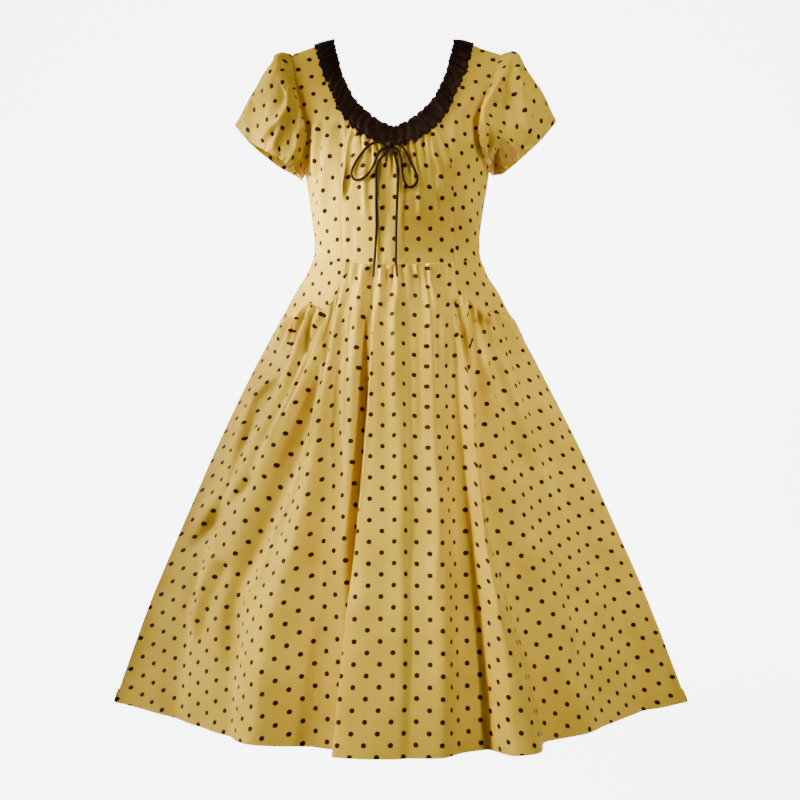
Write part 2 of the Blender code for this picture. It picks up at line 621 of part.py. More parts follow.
class Folds:
    """Long folds of half a skirt: columns share a number u from 0 to 1 along the cloth."""

    def __init__(self, table, back):
        self.back = back
        self.names = ["start"] + [row[0] for row in table] + ["end"]
        values = np.array([row[1:] for row in table])
        self.x = values[:, [0, 1, 3, 5, 7]]
        self.out = np.column_stack([0 * values[:, 0], values[:, [2, 4, 6, 8]]])
        self.first = 90.0 if back else -90.0
        turns = self.turns_at(-0.70)
        outs = self.outs_at(-0.70)
        place = skirt_base(turns, -0.70) + skirt_outward(turns, -0.70 + 0 * turns) * outs[:, None]
        run = np.concatenate([[0], np.cumsum(np.linalg.norm(np.diff(place, axis=0), axis=1))])
        self.u = run / run[-1]
        self.fine = np.linspace(0.0, 1.0, 601)
        self.levels = np.linspace(WAIST_Z, HEM_Z, 81)
        rows = [(self.turns_at(z), self.outs_at(z)) for z in self.levels]
        self.turn = np.array([curve_at(self.u, row[0], self.fine) for row in rows])
        self.stand = np.array([curve_at(self.u, row[1], self.fine) for row in rows])

    def turns_at(self, z):
        """Turn of each fold line at one height."""
        half, _, _, _, shift = skirt_section(z)
        x = np.array([curve_at(FOLD_HEIGHTS, row, z) for row in self.x])
        turn = np.degrees(np.arcsin(np.clip((x - shift) / half, -0.999, 0.999)))
        if self.back:
            turn = 180.0 - turn
        return np.concatenate([[self.first], turn, [self.first + 180.0]])

    def outs_at(self, z):
        """How far each fold line stands out at one height."""
        out = [float(curve_at(FOLD_HEIGHTS, row, z)) for row in self.out]
        return np.array([0.0] + out + [0.0])

    def at(self, u, z):
        """Turn and stand-off for arrays of column and height."""
        u, z = np.broadcast_arrays(np.asarray(u, float), np.asarray(z, float))
        across = np.clip(u, 0, 1) * (len(self.fine) - 1)
        along = np.clip((z - WAIST_Z) / (HEM_Z - WAIST_Z), 0, 1) * (len(self.levels) - 1)
        i = np.clip(across.astype(int), 0, len(self.fine) - 2)
        k = np.clip(along.astype(int), 0, len(self.levels) - 2)
        s = across - i
        t = along - k
        out = []
        for grid in (self.turn, self.stand):
            upper = grid[k, i] * (1 - s) + grid[k, i + 1] * s
            lower = grid[k + 1, i] * (1 - s) + grid[k + 1, i + 1] * s
            out.append(upper * (1 - t) + lower * t)
        return out


FRONT = Folds(FRONT_FOLDS, False)
BACK = Folds(BACK_FOLDS, True)


def yoke_edge():
    """Columns and heights of the top edge of the full-width front skirt."""
    us = []
    zs = []
    for table in (reversed(YOKE_EDGE_LEFT), YOKE_EDGE_RIGHT):
        for x, z in table:
            lo = 0.0
            hi = 1.0
            half, _, _, _, shift = skirt_section(z)
            x = max(min(x, half * 0.9999), -half * 0.9999)
            for _ in range(40):
                mid = 0.5 * (lo + hi)
                turn, _ = FRONT.at(mid, z)
                if half * math.sin(math.radians(float(turn))) + shift < x:
                    lo = mid
                else:
                    hi = mid
            us.append(mid)
            zs.append(z)
    us[0] = 0.0
    us[-1] = 1.0
    corner = len(YOKE_EDGE_LEFT) - 1
    us[corner] = FRONT.u[FRONT.names.index(YOKE_LINE_LEFT)]
    us[corner + 1] = FRONT.u[FRONT.names.index(YOKE_LINE_RIGHT)]
    return np.array(us), np.array(zs)


EDGE_MARKS, EDGE_HEIGHTS = yoke_edge()
CORNER_LEFT = EDGE_MARKS[len(YOKE_EDGE_LEFT) - 1]
CORNER_RIGHT = EDGE_MARKS[len(YOKE_EDGE_LEFT)]
YOKE_U = [EDGE_MARKS[0]]
for before, after in zip(EDGE_MARKS, EDGE_MARKS[1:]):
    YOKE_U += [0.5 * (before + after), after]
YOKE_U = np.array(YOKE_U)
YOKE_Z = curve_at(EDGE_MARKS, EDGE_HEIGHTS, YOKE_U)
SEAM_ROWS = (0.0, 0.12, 0.30, 0.60, 1.0)


def gathers(table, x, fall):
    """Height of short gathers at lateral x of their seam, fall metres below it."""
    total = 0.0 * x
    for centre, half, height, length in table:
        rise = step(fall / 0.012)
        fade = 1 - step(fall / length)
        widen = half * (1 + 1.2 * fall / length)
        total = total + height * rise * fade * bump((x - centre) / widen)
    return total


def skirt_point(folds, u, z, seam_z, tables, seam_x):
    """Points of a folded skirt with its gathers."""
    turn, out = folds.at(u, z)
    fall = np.maximum(seam_z - z, 0.0)
    out = out * step(fall / 0.075)
    for table in tables:
        out = out + gathers(table, seam_x, fall)
    return skirt_base(turn, z) + skirt_outward(turn, z) * out[..., None]


# Walls


class Sheet:
    """An open surface of zipped rows, made into a closed wall."""

    def __init__(self):
        self.points = []
        self.normals = {}
        self.faces = []

    def row(self, points, t, normals=None, closed=False):
        """Adds a row and returns it as (ids, t)."""
        start = len(self.points)
        self.points.extend(np.asarray(points, float))
        ids = list(range(start, start + len(points)))
        if normals is not None:
            for i, n in zip(ids, normals):
                self.normals[i] = n
        t = list(t)
        if closed:
            ids.append(start)
            t.append(t[0] + 1.0)
        return ids, t

    def fix(self, index, normal):
        """Sets the wall's direction at one point."""
        self.normals[index] = np.asarray(normal, float)

    def zip(self, upper, lower):
        """Triangles between two rows, matched by t."""
        a, ta = upper
        b, tb = lower
        i = 0
        j = 0
        while i < len(a) - 1 or j < len(b) - 1:
            if j == len(b) - 1 or (i < len(a) - 1 and ta[i + 1] < tb[j + 1] - 1e-9):
                self.faces.append((a[i], b[j], a[i + 1]))
                i += 1
            else:
                self.faces.append((a[i], b[j], b[j + 1]))
                j += 1

    def solid(self, name, colour, rough=0.6, metallic=0.0, wall=WALL, inset=SEAM_GAP / 2):
        """Gives the surface a thickness, half on each side, and closes the rim."""
        p = np.array(self.points)
        f = np.array(self.faces)
        n = np.zeros_like(p)
        face = unit(np.cross(p[f[:, 1]] - p[f[:, 0]], p[f[:, 2]] - p[f[:, 0]]))
        corner = np.zeros((len(f), 3))
        for c in range(3):
            one = unit(p[f[:, (c + 1) % 3]] - p[f[:, c]])
            two = unit(p[f[:, (c + 2) % 3]] - p[f[:, c]])
            corner[:, c] = np.arccos(np.clip(np.sum(one * two, axis=1), -1, 1))
            np.add.at(n, f[:, c], face * corner[:, c, None])
        n = unit(n)
        for i, v in self.normals.items():
            n[i] = v
        # at a crease the wall keeps its thickness, so its corner stands further off
        lean = np.zeros(len(p))
        weight = np.zeros(len(p))
        for c in range(3):
            np.add.at(lean, f[:, c], np.sum(n[f[:, c]] * face, axis=1) * corner[:, c])
            np.add.at(weight, f[:, c], corner[:, c])
        n = n / np.clip(lean / weight, 0.7, 1.0)[:, None]
        used = set()
        for a, b, c in self.faces:
            used.update(((a, b), (b, c), (c, a)))
        rim = [e for e in used if (e[1], e[0]) not in used]
        after = {a: b for a, b in rim}
        before = {b: a for a, b in rim}
        moved = p.copy()
        for i, j in after.items():
            k = before[i]
            # inward is the normal crossed with each rim edge's own direction
            up = unit(n[i])
            sides = [np.cross(up, unit(p[j] - p[i])), np.cross(up, unit(p[i] - p[k]))]
            sides = [unit(s) for s in sides]
            into = sides[0] + sides[1]
            size = max(0.35, 0.5 * float(np.dot(into, into)))
            moved[i] = p[i] + into * inset / size
        mesh = bpy.data.meshes.new(name)
        count = len(p)
        both = np.concatenate([moved + n * wall / 2, moved - n * wall / 2])
        faces = [tuple(t) for t in self.faces]
        faces += [(c + count, b + count, a + count) for a, b, c in self.faces]
        for a, b in rim:
            faces.append((b, a, a + count))
            faces.append((b, a + count, b + count))
        mesh.from_pydata([tuple(v) for v in both], [], faces)
        return place(name, mesh, colour, rough, metallic)


def place(name, mesh, colour, rough=0.6, metallic=0.0):
    """Makes the object with its own material."""
    mesh.validate()
    mesh.update()
    mesh.shade_smooth()
    mesh.set_sharp_from_angle(angle=math.radians(50))
    obj = bpy.data.objects.new(name, mesh)
    bpy.context.scene.collection.objects.link(obj)
    material = bpy.data.materials.new(name)
    material.use_nodes = True
    shader = material.node_tree.nodes["Principled BSDF"]
    shader.inputs["Base Color"].default_value = (*colour, 1)
    shader.inputs["Roughness"].default_value = rough
    shader.inputs["Metallic"].default_value = metallic
    mesh.materials.append(material)
    return obj


def coons(u, v, bottom, top, start, end):
    """Blends four edges, each a function of one share, into a patch."""
    b = bottom(u)
    t = top(u)
    s = start(v)
    e = end(v)
    corner = (1 - u) * (1 - v) * start(0.0) + u * (1 - v) * end(0.0)
    corner = corner + (1 - u) * v * start(1.0) + u * v * end(1.0)
    return (1 - v) * b + v * t + (1 - u) * s + u * e - corner


def joined(first, second, middle=0.5):
    """One edge out of two that follow each other."""
    def edge(v):
        if v <= middle:
            return read_line(first, v / middle)
        return read_line(second, (v - middle) / (1 - middle))
    return edge


def straight(a, b):
    """Edge that runs evenly between two turn and down pairs."""
    a = np.array(a, float)
    b = np.array(b, float)
    return lambda u: a + (b - a) * u


def reverse(line):
    """The same line from its other end."""
    points, run = line
    return points[::-1], 1 - run[::-1]


def segment(a, b):
    """Straight line in turn and down as a readable line."""
    return np.array([a, b], float), np.array([0.0, 1.0])


# Bodice


def panel(name, columns, rows, bottom, top, start, end, lift=None, shoulder=True):
    """A bodice panel from its four edges."""
    sheet = Sheet()
    last = None
    for r, v in enumerate(rows):
        us = columns(v)
        spots = np.array([coons(u, v, bottom, top, start, end) for u in us])
        points = torso(spots[:, 0], spots[:, 1])
        normals = torso_normal(spots[:, 0], spots[:, 1])
        if r == len(rows) - 1:
            normals[:, 2] = 0
            normals = unit(normals)
        if r == 0 and shoulder:
            normals[:, 1] = 0
            normals = unit(normals)
        if lift is not None:
            points = points + normals * lift(us, v)[:, None]
        row = sheet.row(points, us)
        for i, n in zip(row[0], normals):
            if r in (0, len(rows) - 1) or i in (row[0][0], row[0][-1]):
                sheet.fix(i, n)
        if last is not None:
            sheet.zip(last, row)
        last = row
    return sheet.solid(name, CLOTH)


def even(count):
    """The same columns in each row."""
    return lambda v: np.linspace(0, 1, count)


def build_bodice_front():
    """Centre front, gathered into the neck seam."""
    left = princess_line(-1)
    right = princess_line(1)
    seam_left = neck_line(-1, False, SEAM_PLACE)
    seam_right = neck_line(1, False, SEAM_PLACE)

    def top(u):
        if u < 0.5:
            return read_line(seam_left, PRINCESS_AT_NECK * (1 - 2 * u))
        return read_line(seam_right, PRINCESS_AT_NECK * (2 * u - 1))

    def seam_x(u):
        spot = top(u)
        return float(torso(spot[0], spot[1])[0])

    bottom = straight(left[0][0], right[0][0])
    long_side = 0.2

    def lift(us, v):
        x = np.array([seam_x(u) for u in us])
        inner = step(np.minimum(us, 1 - us) / 0.06)
        return gathers(NECK_GATHERS, x, np.full(len(us), (1 - v) * long_side)) * inner

    fine = np.linspace(0, 1, 45)
    middle = np.linspace(0, 1, 29)
    coarse = np.linspace(0, 1, 15)

    def columns(v):
        if v > 0.60:
            return fine
        return middle if v > 0.3 else coarse

    panel("bodice_front", columns, PRINCESS_ROWS, bottom, top, lambda v: read_line(left, v),
          lambda v: read_line(right, v), lift, shoulder=False)


PRINCESS_ROWS = [1.0, 0.95, 0.87, 0.76, 0.64, 0.50, 0.34, 0.17, 0.0]
UPPER_ROWS = [1.0, 0.95, 0.89, 0.81, 0.72, 0.61]
BACK_ROWS = [*UPPER_ROWS, 0.50, 0.40, 0.28, 0.14, 0.0]


def build_side_fronts():
    """Side fronts from the princess seam to the side seam, up to the shoulder."""
    for side, name in ((-1, "bodice_side_front_left"), (1, "bodice_side_front_right")):
        seam = neck_line(side, False, SEAM_PLACE)
        share = np.linspace(PRINCESS_AT_NECK, 1, 12)
        upper = (read_line(seam, share), (share - share[0]) / (1 - share[0]))
        inner = joined(princess_line(side), upper)
        under = UNDERARM_RIGHT if side > 0 else UNDERARM_LEFT
        seam = segment([90 * side, 1], [90 * side, under])
        outer = joined(seam, armhole_line(side, False), 0.25)
        first, last = (inner, outer) if side > 0 else (outer, inner)
        rows = UPPER_ROWS + [v / 2 for v in PRINCESS_ROWS]
        panel(name, even(9), rows, straight(first(0.0), last(0.0)),
              straight(first(1.0), last(1.0)), first, last)


def back_edges(side):
    """The four edges of a back panel."""
    seam = neck_line(side, True, SEAM_PLACE)
    seam[0][0][0] = 180.0
    inner = joined(segment([180.0, 1.0], seam[0][0]), seam)
    under = UNDERARM_RIGHT if side > 0 else UNDERARM_LEFT
    edge = 90.0 if side > 0 else 270.0
    outer = joined(segment([edge, 1], [edge, under]), armhole_line(side, True))
    first, last = (outer, inner) if side > 0 else (inner, outer)
    return straight(first(0.0), last(0.0)), straight(first(1.0), last(1.0)), first, last


def build_backs():
    """Back panels from the side seam to the centre-back seam."""
    for side, name in ((1, "bodice_back_right"), (-1, "bodice_back_left")):
        panel(name, even(BACK_COLUMNS), BACK_ROWS, *back_edges(side))


# Skirt and yokes


def spread(folds, gap, lo=0.0, hi=1.0, z=-0.45, must=()):
    """Columns between lo and hi: every fold line, and more so that none is wider than gap."""
    marks = sorted({lo, hi, *must, *[u for u in folds.u if lo < u < hi]})
    out = [marks[0]]
    for a, b in zip(marks, marks[1:]):
        turn, stand = folds.at(np.array([a, b]), np.array([z, z]))
        ends = skirt_base(turn, z) + skirt_outward(turn, np.array([z, z])) * stand[:, None]
        parts = max(1, round(float(np.linalg.norm(ends[1] - ends[0])) / gap))
        out += [a + (b - a) * (k + 1) / parts for k in range(parts)]
    return np.array(out)


def build_skirt_front():
    """One front piece: gathered to the waist between the yokes and below each yoke."""
    sheet = Sheet()
    corners = (CORNER_LEFT, CORNER_RIGHT)

    def top_x(us, zs):
        turn, _ = FRONT.at(us, zs)
        return skirt_base(turn, zs)[:, 0]

    def seam_of(us):
        edge = np.interp(us, YOKE_U, YOKE_Z)
        turn, _ = FRONT.at(us, 0 * us + WAIST_Z)
        return edge, waist_z(turn)

    def points(us, zs):
        edge, waist = seam_of(us)
        inside = (us > corners[0] - 1e-9) & (us < corners[1] + 1e-9)
        seam = np.where(inside, waist, edge)
        x_waist = top_x(us, waist)
        x_edge = top_x(us, edge)
        middle = step((us - corners[0]) / 0.02) * step((corners[1] - us) / 0.02)
        turn, out = FRONT.at(us, zs)
        long = out * np.where(inside, step((waist - zs) / 0.075), step((edge - zs) / 0.075))
        blend = step(np.minimum(abs(us - corners[0]), abs(us - corners[1])) / 0.03)
        near = out * step((edge - zs) / 0.075)
        long = np.where(inside, long * blend + near * (1 - blend), long)
        short = middle * gathers(WAIST_GATHERS, x_waist, np.maximum(waist - zs, 0))
        outside = (1 - step((us - corners[0]) / 0.012)) + (1 - step((corners[1] - us) / 0.012))
        short = short + outside * gathers(YOKE_GATHERS, x_edge, np.maximum(edge - zs, 0))
        side = step(np.minimum(us, 1 - us) / 0.02)
        out = (long + short) * side
        return skirt_base(turn, zs) + skirt_outward(turn, zs) * out[:, None], turn, seam

    fine = spread(FRONT, 0.0038, z=-0.42, must=YOKE_U)
    medium = spread(FRONT, 0.0095, z=-0.50, must=corners)
    coarse = spread(FRONT, 0.024, z=-0.70, must=corners)
    upper_fine = [u for u in fine if corners[0] - 1e-9 <= u <= corners[1] + 1e-9]
    upper_fine = np.array(upper_fine)

    # below the yokes and across the whole front
    rows = []
    for share, us in ((0.0, fine), (0.020, fine), (0.050, fine), (0.095, medium), (0.155, medium),
                      (0.240, coarse), (0.360, coarse), (0.500, coarse), (0.660, coarse),
                      (0.830, coarse), (1.0, coarse)):
        edge, _ = seam_of(us)
        zs = edge + (HEM_Z - edge) * share
        spots, turn, _ = points(us, zs)
        if share == 0.0:
            marks, _ = FRONT.at(YOKE_U, YOKE_Z)
            along = skirt_base(marks, YOKE_Z)
            normals = skirt_normal(marks, YOKE_Z)
            normals[0] = (-1, 0, 0)
            normals[-1] = (1, 0, 0)
            sewn = (us <= corners[0] + 1e-9) | (us >= corners[1] - 1e-9)
            here = np.stack([np.interp(us, YOKE_U, along[:, c]) for c in range(3)], axis=-1)
            spots = np.where(sewn[:, None], here, spots)
            here = np.stack([np.interp(us, YOKE_U, normals[:, c]) for c in range(3)], axis=-1)
            normals = np.where(sewn[:, None], unit(here), skirt_normal(turn, zs))
        row = sheet.row(spots, us)
        if share == 0.0:
            for i, n in zip(row[0], normals):
                sheet.fix(i, n)
        for end in (0, -1):
            sheet.fix(row[0][end], (math.copysign(1, end + 0.5) * -1, 0, 0))
        if rows:
            sheet.zip(rows[-1], row)
        rows.append(row)

    # from the waist seam down to that first row, between the yokes
    last = None
    for share in SEAM_ROWS[:-1]:
        edge, waist = seam_of(upper_fine)
        zs = waist + (edge - waist) * share
        spots, turn, _ = points(upper_fine, zs)
        row = sheet.row(spots, upper_fine)
        normals = skirt_normal(turn, zs)
        if share == 0.0:
            normals[:, 2] = 0
            normals = unit(normals)
            for i, n in zip(row[0], normals):
                sheet.fix(i, n)
        else:
            sheet.fix(row[0][0], normals[0])
            sheet.fix(row[0][-1], normals[-1])
        if last is not None:
            sheet.zip(last, row)
        last = row
    ids, ts = rows[0]
    keep = [k for k, t in enumerate(ts) if corners[0] - 1e-9 <= t <= corners[1] + 1e-9]
    sheet.zip(last, ([ids[k] for k in keep], [ts[k] for k in keep]))
    return sheet.solid("skirt_front", CLOTH)


def build_yokes():
    """Plain hip yokes from the waist to their scalloped lower edge."""
    for side, name in ((-1, "hip_yoke_left"), (1, "hip_yoke_right")):
        lo, hi = (0.0, CORNER_LEFT) if side < 0 else (CORNER_RIGHT, 1.0)
        us = np.array([u for u in YOKE_U if lo - 1e-9 <= u <= hi + 1e-9])
        sheet = Sheet()
        last = None
        for share in SEAM_ROWS:
            turn, _ = FRONT.at(us, 0 * us + WAIST_Z)
            top = waist_z(turn)
            zs = top + (np.interp(us, YOKE_U, YOKE_Z) - top) * share
            turn, _ = FRONT.at(us, zs)
            points = skirt_base(turn, zs)
            normals = skirt_normal(turn, zs)
            if share == 0.0:
                normals[:, 2] = 0
                normals = unit(normals)
            outer = 0 if side < 0 else -1
            normals[outer] = (side, 0, 0)
            row = sheet.row(points, us, normals)
            if last is not None:
                sheet.zip(last, row)
            last = row
        sheet.solid(name, CLOTH)


BACK_SHARES = (0.0, 0.018, 0.048, 0.10, 0.17, 0.26, 0.38, 0.52, 0.68, 0.84, 1.0)


def build_skirt_backs():
    """Two gathered back pieces that meet at the centre back."""
    centre = BACK.u[BACK.names.index("centre")]
    for side, name in ((1, "skirt_back_right"), (-1, "skirt_back_left")):
        lo, hi = (0.0, centre) if side > 0 else (centre, 1.0)
        fine = spread(BACK, 0.0045, lo, hi, z=-0.38)
        medium = spread(BACK, 0.0105, lo, hi, z=-0.45)
        coarse = spread(BACK, 0.026, lo, hi, z=-0.70)
        sheet = Sheet()
        last = None
        for k, share in enumerate(BACK_SHARES):
            us = fine if k < 3 else medium if k < 5 else coarse
            zs = WAIST_Z + (HEM_Z - WAIST_Z) * share + 0 * us
            turn, _ = BACK.at(us, 0 * us + WAIST_Z)
            seam_x = skirt_base(turn, 0 * us + WAIST_Z)[:, 0]
            points = skirt_point(BACK, us, zs, WAIST_Z, [BACK_GATHERS], seam_x)
            row = sheet.row(points, us)
            turn, _ = BACK.at(us, zs)
            normals = skirt_normal(turn, zs)
            if share == 0.0:
                normals[:, 2] = 0
                normals = unit(normals)
                for i, n in zip(row[0], normals):
                    sheet.fix(i, n)
            outer, inner = (0, -1) if side > 0 else (-1, 0)
            sheet.fix(row[0][outer], (side, 0, 0))
            sheet.fix(row[0][inner], normals[inner])
            if last is not None:
                sheet.zip(last, row)
            last = row
        sheet.solid(name, CLOTH)


# Sleeves


def build_sleeves():
    """Puff sleeves lapped on the armhole edge."""
    for side, name in ((-1, "sleeve_left"), (1, "sleeve_right")):
        hem_table = np.array(SLEEVE_HEM_RIGHT if side > 0 else SLEEVE_HEM_LEFT)
        ridges = SLEEVE_RIDGES_RIGHT if side > 0 else SLEEVE_RIDGES_LEFT
        front = reverse(armhole_line(side, False))
        back = armhole_line(side, True)
        count = 40
        ts = np.arange(count) / count
        seam = []
        for t in ts:
            spot = read_line(front, 2 * t) if t <= 0.5 else read_line(back, 2 * t - 1)
            n = torso_normal(spot[0], spot[1])
            seam.append(torso(spot[0], spot[1]) + n * LAP)
        seam = np.array(seam)
        wrap = np.concatenate([hem_table[-3:, 0] - 1, hem_table[:, 0], hem_table[:3, 0] + 1])
        hem = []
        for c in (1, 2, 3):
            column = np.concatenate([hem_table[-3:, c], hem_table[:, c], hem_table[:3, c]])
            hem.append(curve_at(wrap, column, ts))
        hem = np.stack(hem, axis=-1)
        hem[:, 0] *= side
        middle = 0.5 * (seam.mean(axis=0) + hem.mean(axis=0))
        chord = unit(hem - seam)
        radial = 0.5 * (seam + hem) - middle
        radial = unit(radial - chord * np.sum(radial * chord, axis=1, keepdims=True))
        puff_along = np.array(PUFF)
        puff_round = np.array(PUFF_ROUND)
        fullness = curve_at(puff_round[:, 0], puff_round[:, 1], ts)
        sheet = Sheet()
        last = None
        for v in (0.0, 0.05, 0.15, 0.32, 0.52, 0.74, 1.0):
            stand = fullness * float(curve_at(puff_along[:, 0], puff_along[:, 1], v))
            for at_seam, at_hem, half, height, peak, reach in ridges:
                centre = at_seam + (at_hem - at_seam) * v
                away = (ts - centre + 0.5) % 1 - 0.5
                grow = step(v / peak) if v < peak else 1 - step((v - peak) / max(reach - peak, 0.01))
                stand = stand + height * float(grow) * bump(away / (half * (1 + 0.4 * v)))
            points = seam + (hem - seam) * v + radial * stand[:, None]
            if v > 0:
                points = clear_of_torso(points, LAP + 0.0010 + 0.0030 * v)
            if side > 0:
                points = points[::-1]
            row = sheet.row(points, ts, closed=True)
            if last is not None:
                sheet.zip(last, row)
            last = row
        sheet.solid(name, CLOTH, inset=0.0)


# Neck trim


def build_trim():
    """Ruched band over the neck seam, a front and a back half."""
    for back, name, waves in ((False, "neck_trim_front", 29), (True, "neck_trim_back", 23)):
        first, second = (1, -1) if back else (-1, 1)
        count = waves * 4 + 1
        t = np.linspace(0, 1, count)
        sheet = Sheet()
        last = None
        phase = t * waves + 0.16 * np.sin(t * 23.0) + 0.10 * np.sin(t * 51.0)
        wave = 0.5 - 0.5 * np.cos(2 * math.pi * phase)
        big = 0.75 + 0.25 * np.sin(t * 37.0)
        edge = step(np.minimum(t, 1 - t) / 0.012)
        for across, height, scallop in ((0.0, 0.0009, -0.05), (0.33, 0.0021, 0.0),
                                        (0.66, 0.0021, 0.0), (1.0, 0.0013, 0.05)):
            reach = across + scallop * (2 * wave - 1) * edge * 0.8
            edges = []
            for part in (0, 1):
                one = read_line(NECK_LINES[(first, back)][part], np.abs(2 * t - 1))
                two = read_line(NECK_LINES[(second, back)][part], np.abs(2 * t - 1))
                edges.append(np.where(t[:, None] < 0.5, one, two))
            spots = edges[0] + (edges[1] - edges[0]) * reach[:, None]
            normals = torso_normal(spots[:, 0], spots[:, 1])
            lift = LAP + (0.0007 if across == 1.0 else 0.0) + height * wave * big * edge
            points = torso(spots[:, 0], spots[:, 1]) + normals * lift[:, None]
            row = sheet.row(points, t)
            sheet.fix(row[0][0], normals[0])
            sheet.fix(row[0][-1], normals[-1])
            if last is not None:
                sheet.zip(last, row)
            last = row
        sheet.solid(name, TRIM, rough=0.7)


def neck_pairs():
    """Inner and outer edge of the trim for each quarter of the neck."""
    out = {}
    for back in (False, True):
        for side in (-1, 1):
            out[(side, back)] = [neck_line(side, back, 0.0), neck_line(side, back, 1.0)]
    return out


NECK_LINES = neck_pairs()


# Drawstring


def front_y(x, z):
    """Y of the bodice or skirt front at x and z."""
    turn = math.degrees(math.asin(x / 0.1305))
    if z > waist_z(turn):
        turn, down = locate(x, z)
        return float(torso(turn, down)[1])
    half = float(skirt_section(z)[0])
    return float(skirt_base(math.degrees(math.asin(x / half)), z)[1])


def smooth_route(table, count):
    """Points evenly along a smooth curve through a table of X, height, distance in front."""
    knots = np.array([(x, front_y(x, z) - off, z) for x, z, off in table])
    run = np.concatenate([[0], np.cumsum(np.linalg.norm(np.diff(knots, axis=0), axis=1))])
    padded = np.concatenate([[2 * knots[0] - knots[1]], knots, [2 * knots[-1] - knots[-2]]])
    dense = []
    for k in range(len(knots) - 1):
        p0, p1, p2, p3 = padded[k:k + 4]
        for t in np.linspace(0, 1, 24, endpoint=False):
            a = 2 * p1 + (p2 - p0) * t + (2 * p0 - 5 * p1 + 4 * p2 - p3) * t * t
            dense.append(0.5 * (a + (3 * p1 - p0 - 3 * p2 + p3) * t ** 3))
    dense = np.array(dense + [knots[-1]])
    run = np.concatenate([[0], np.cumsum(np.linalg.norm(np.diff(dense, axis=0), axis=1))])
    at = np.linspace(0, run[-1], count)
    return np.stack([np.interp(at, run, dense[:, c]) for c in range(3)], axis=-1)


def build_cord(name, table, count):
    """One strand of the drawstring as a filled tube."""
    route = smooth_route(table, count)
    curve = bpy.data.curves.new(name, "CURVE")
    curve.dimensions = "3D"
    curve.bevel_depth = CORD_RADIUS
    curve.bevel_resolution = 2
    curve.use_fill_caps = True
    spline = curve.splines.new("POLY")
    spline.points.add(len(route) - 1)
    for point, spot in zip(spline.points, route):
        point.co = (*spot, 1)
    obj = bpy.data.objects.new(name, curve)
    bpy.context.scene.collection.objects.link(obj)
    material = bpy.data.materials.new(name)
    material.use_nodes = True
    shader = material.node_tree.nodes["Principled BSDF"]
    shader.inputs["Base Color"].default_value = (*TRIM, 1)
    shader.inputs["Roughness"].default_value = 0.6
    curve.materials.append(material)
    return obj


def build_knot():
    """The bow's knot, a rounded lump."""
    x, z, off = KNOT
    mesh = bpy.data.meshes.new("bow_knot")
    bm = bmesh.new()
    bmesh.ops.create_uvsphere(bm, u_segments=14, v_segments=8, radius=1.0)
    for v in bm.verts:
        v.co.x = v.co.x * KNOT_SIZE[0] + x
        v.co.y = v.co.y * KNOT_SIZE[1] + front_y(x, z) - off
        v.co.z = v.co.z * KNOT_SIZE[2] + z
    bm.to_mesh(mesh)
    bm.free()
    place("bow_knot", mesh, TRIM, rough=0.6)


# Zip


def back_seam_rows():
    """Rows of the centre-back seam and the cloth beside it: left, seam, right, with a normal."""
    rows = []
    sides = {side: back_edges(side) for side in (1, -1)}
    for v in BACK_ROWS[len(UPPER_ROWS):]:
        spots = []
        for side, near in ((1, 1 - 1 / (BACK_COLUMNS - 1)), (1, 1.0), (-1, 1 / (BACK_COLUMNS - 1))):
            spots.append(coons(near, v, *sides[side]))
        spots = np.array(spots)
        points = torso(spots[:, 0], spots[:, 1])
        normals = torso_normal(spots[:, 0], spots[:, 1])
        if v == 0.0:
            normals[:, 2] = 0
            normals = unit(normals)
        rows.append((points, normals))
    half = np.array([TAPE_HALF, 0.0, -TAPE_HALF])
    for share in BACK_SHARES[1:TAPE_SKIRT_ROWS]:
        z = WAIST_Z + (HEM_Z - WAIST_Z) * share
        turn = 180.0 - np.degrees(np.arcsin(half / skirt_section(z)[0]))
        points = skirt_base(turn, z + 0 * turn)
        normals = skirt_normal(turn, z + 0 * turn)
        rows.append((points - normals * 0.0003, normals))
    return rows


BACK_COLUMNS = 12
TAPE_SKIRT_ROWS = 5


def build_tape():
    """The closed zip behind the centre-back seam."""
    sheet = Sheet()
    last = None
    inward = WALL / 2 + SEAM_GAP + TAPE_WALL / 2 + 0.0001
    rows = back_seam_rows()
    rows[0] = (0.55 * rows[0][0] + 0.45 * rows[1][0], rows[0][1])
    for points, normals in rows:
        beside = points[[0, 2]] - points[1]
        size = np.linalg.norm(beside, axis=1, keepdims=True)
        edges = points[1] + beside * (TAPE_HALF / size)
        line = np.array([edges[0], points[1], edges[1]])
        row = sheet.row(line - normals * inward, [0.0, 0.5, 1.0], normals)
        if last is not None:
            sheet.zip(last, row)
        last = row
    sheet.solid("zip_tape", TAPE, wall=TAPE_WALL, inset=0.0)


def drawn_out(name, outline, axis, ends, lean, origin):
    """An outline across one axis of the slider's frame, drawn out along it."""
    mesh = bpy.data.meshes.new(name)
    bm = bmesh.new()
    rings = []
    for end in ends:
        ring = []
        for a, b in outline:
            spot = (end, a, b) if axis == "X" else (a, b, end)
            ring.append(bm.verts.new(turned(spot, lean)))
        rings.append(ring)
    bm.faces.new(rings[0])
    bm.faces.new(list(reversed(rings[1])))
    count = len(outline)
    for k in range(count):
        n = (k + 1) % count
        bm.faces.new((rings[0][n], rings[0][k], rings[1][k], rings[1][n]))
    bmesh.ops.recalc_face_normals(bm, faces=bm.faces)
    bmesh.ops.triangulate(bm, faces=bm.faces)
    bm.to_mesh(mesh)
    bm.free()
    obj = place(name, mesh, METAL, rough=0.35, metallic=1.0)
    obj.location = origin
    return obj


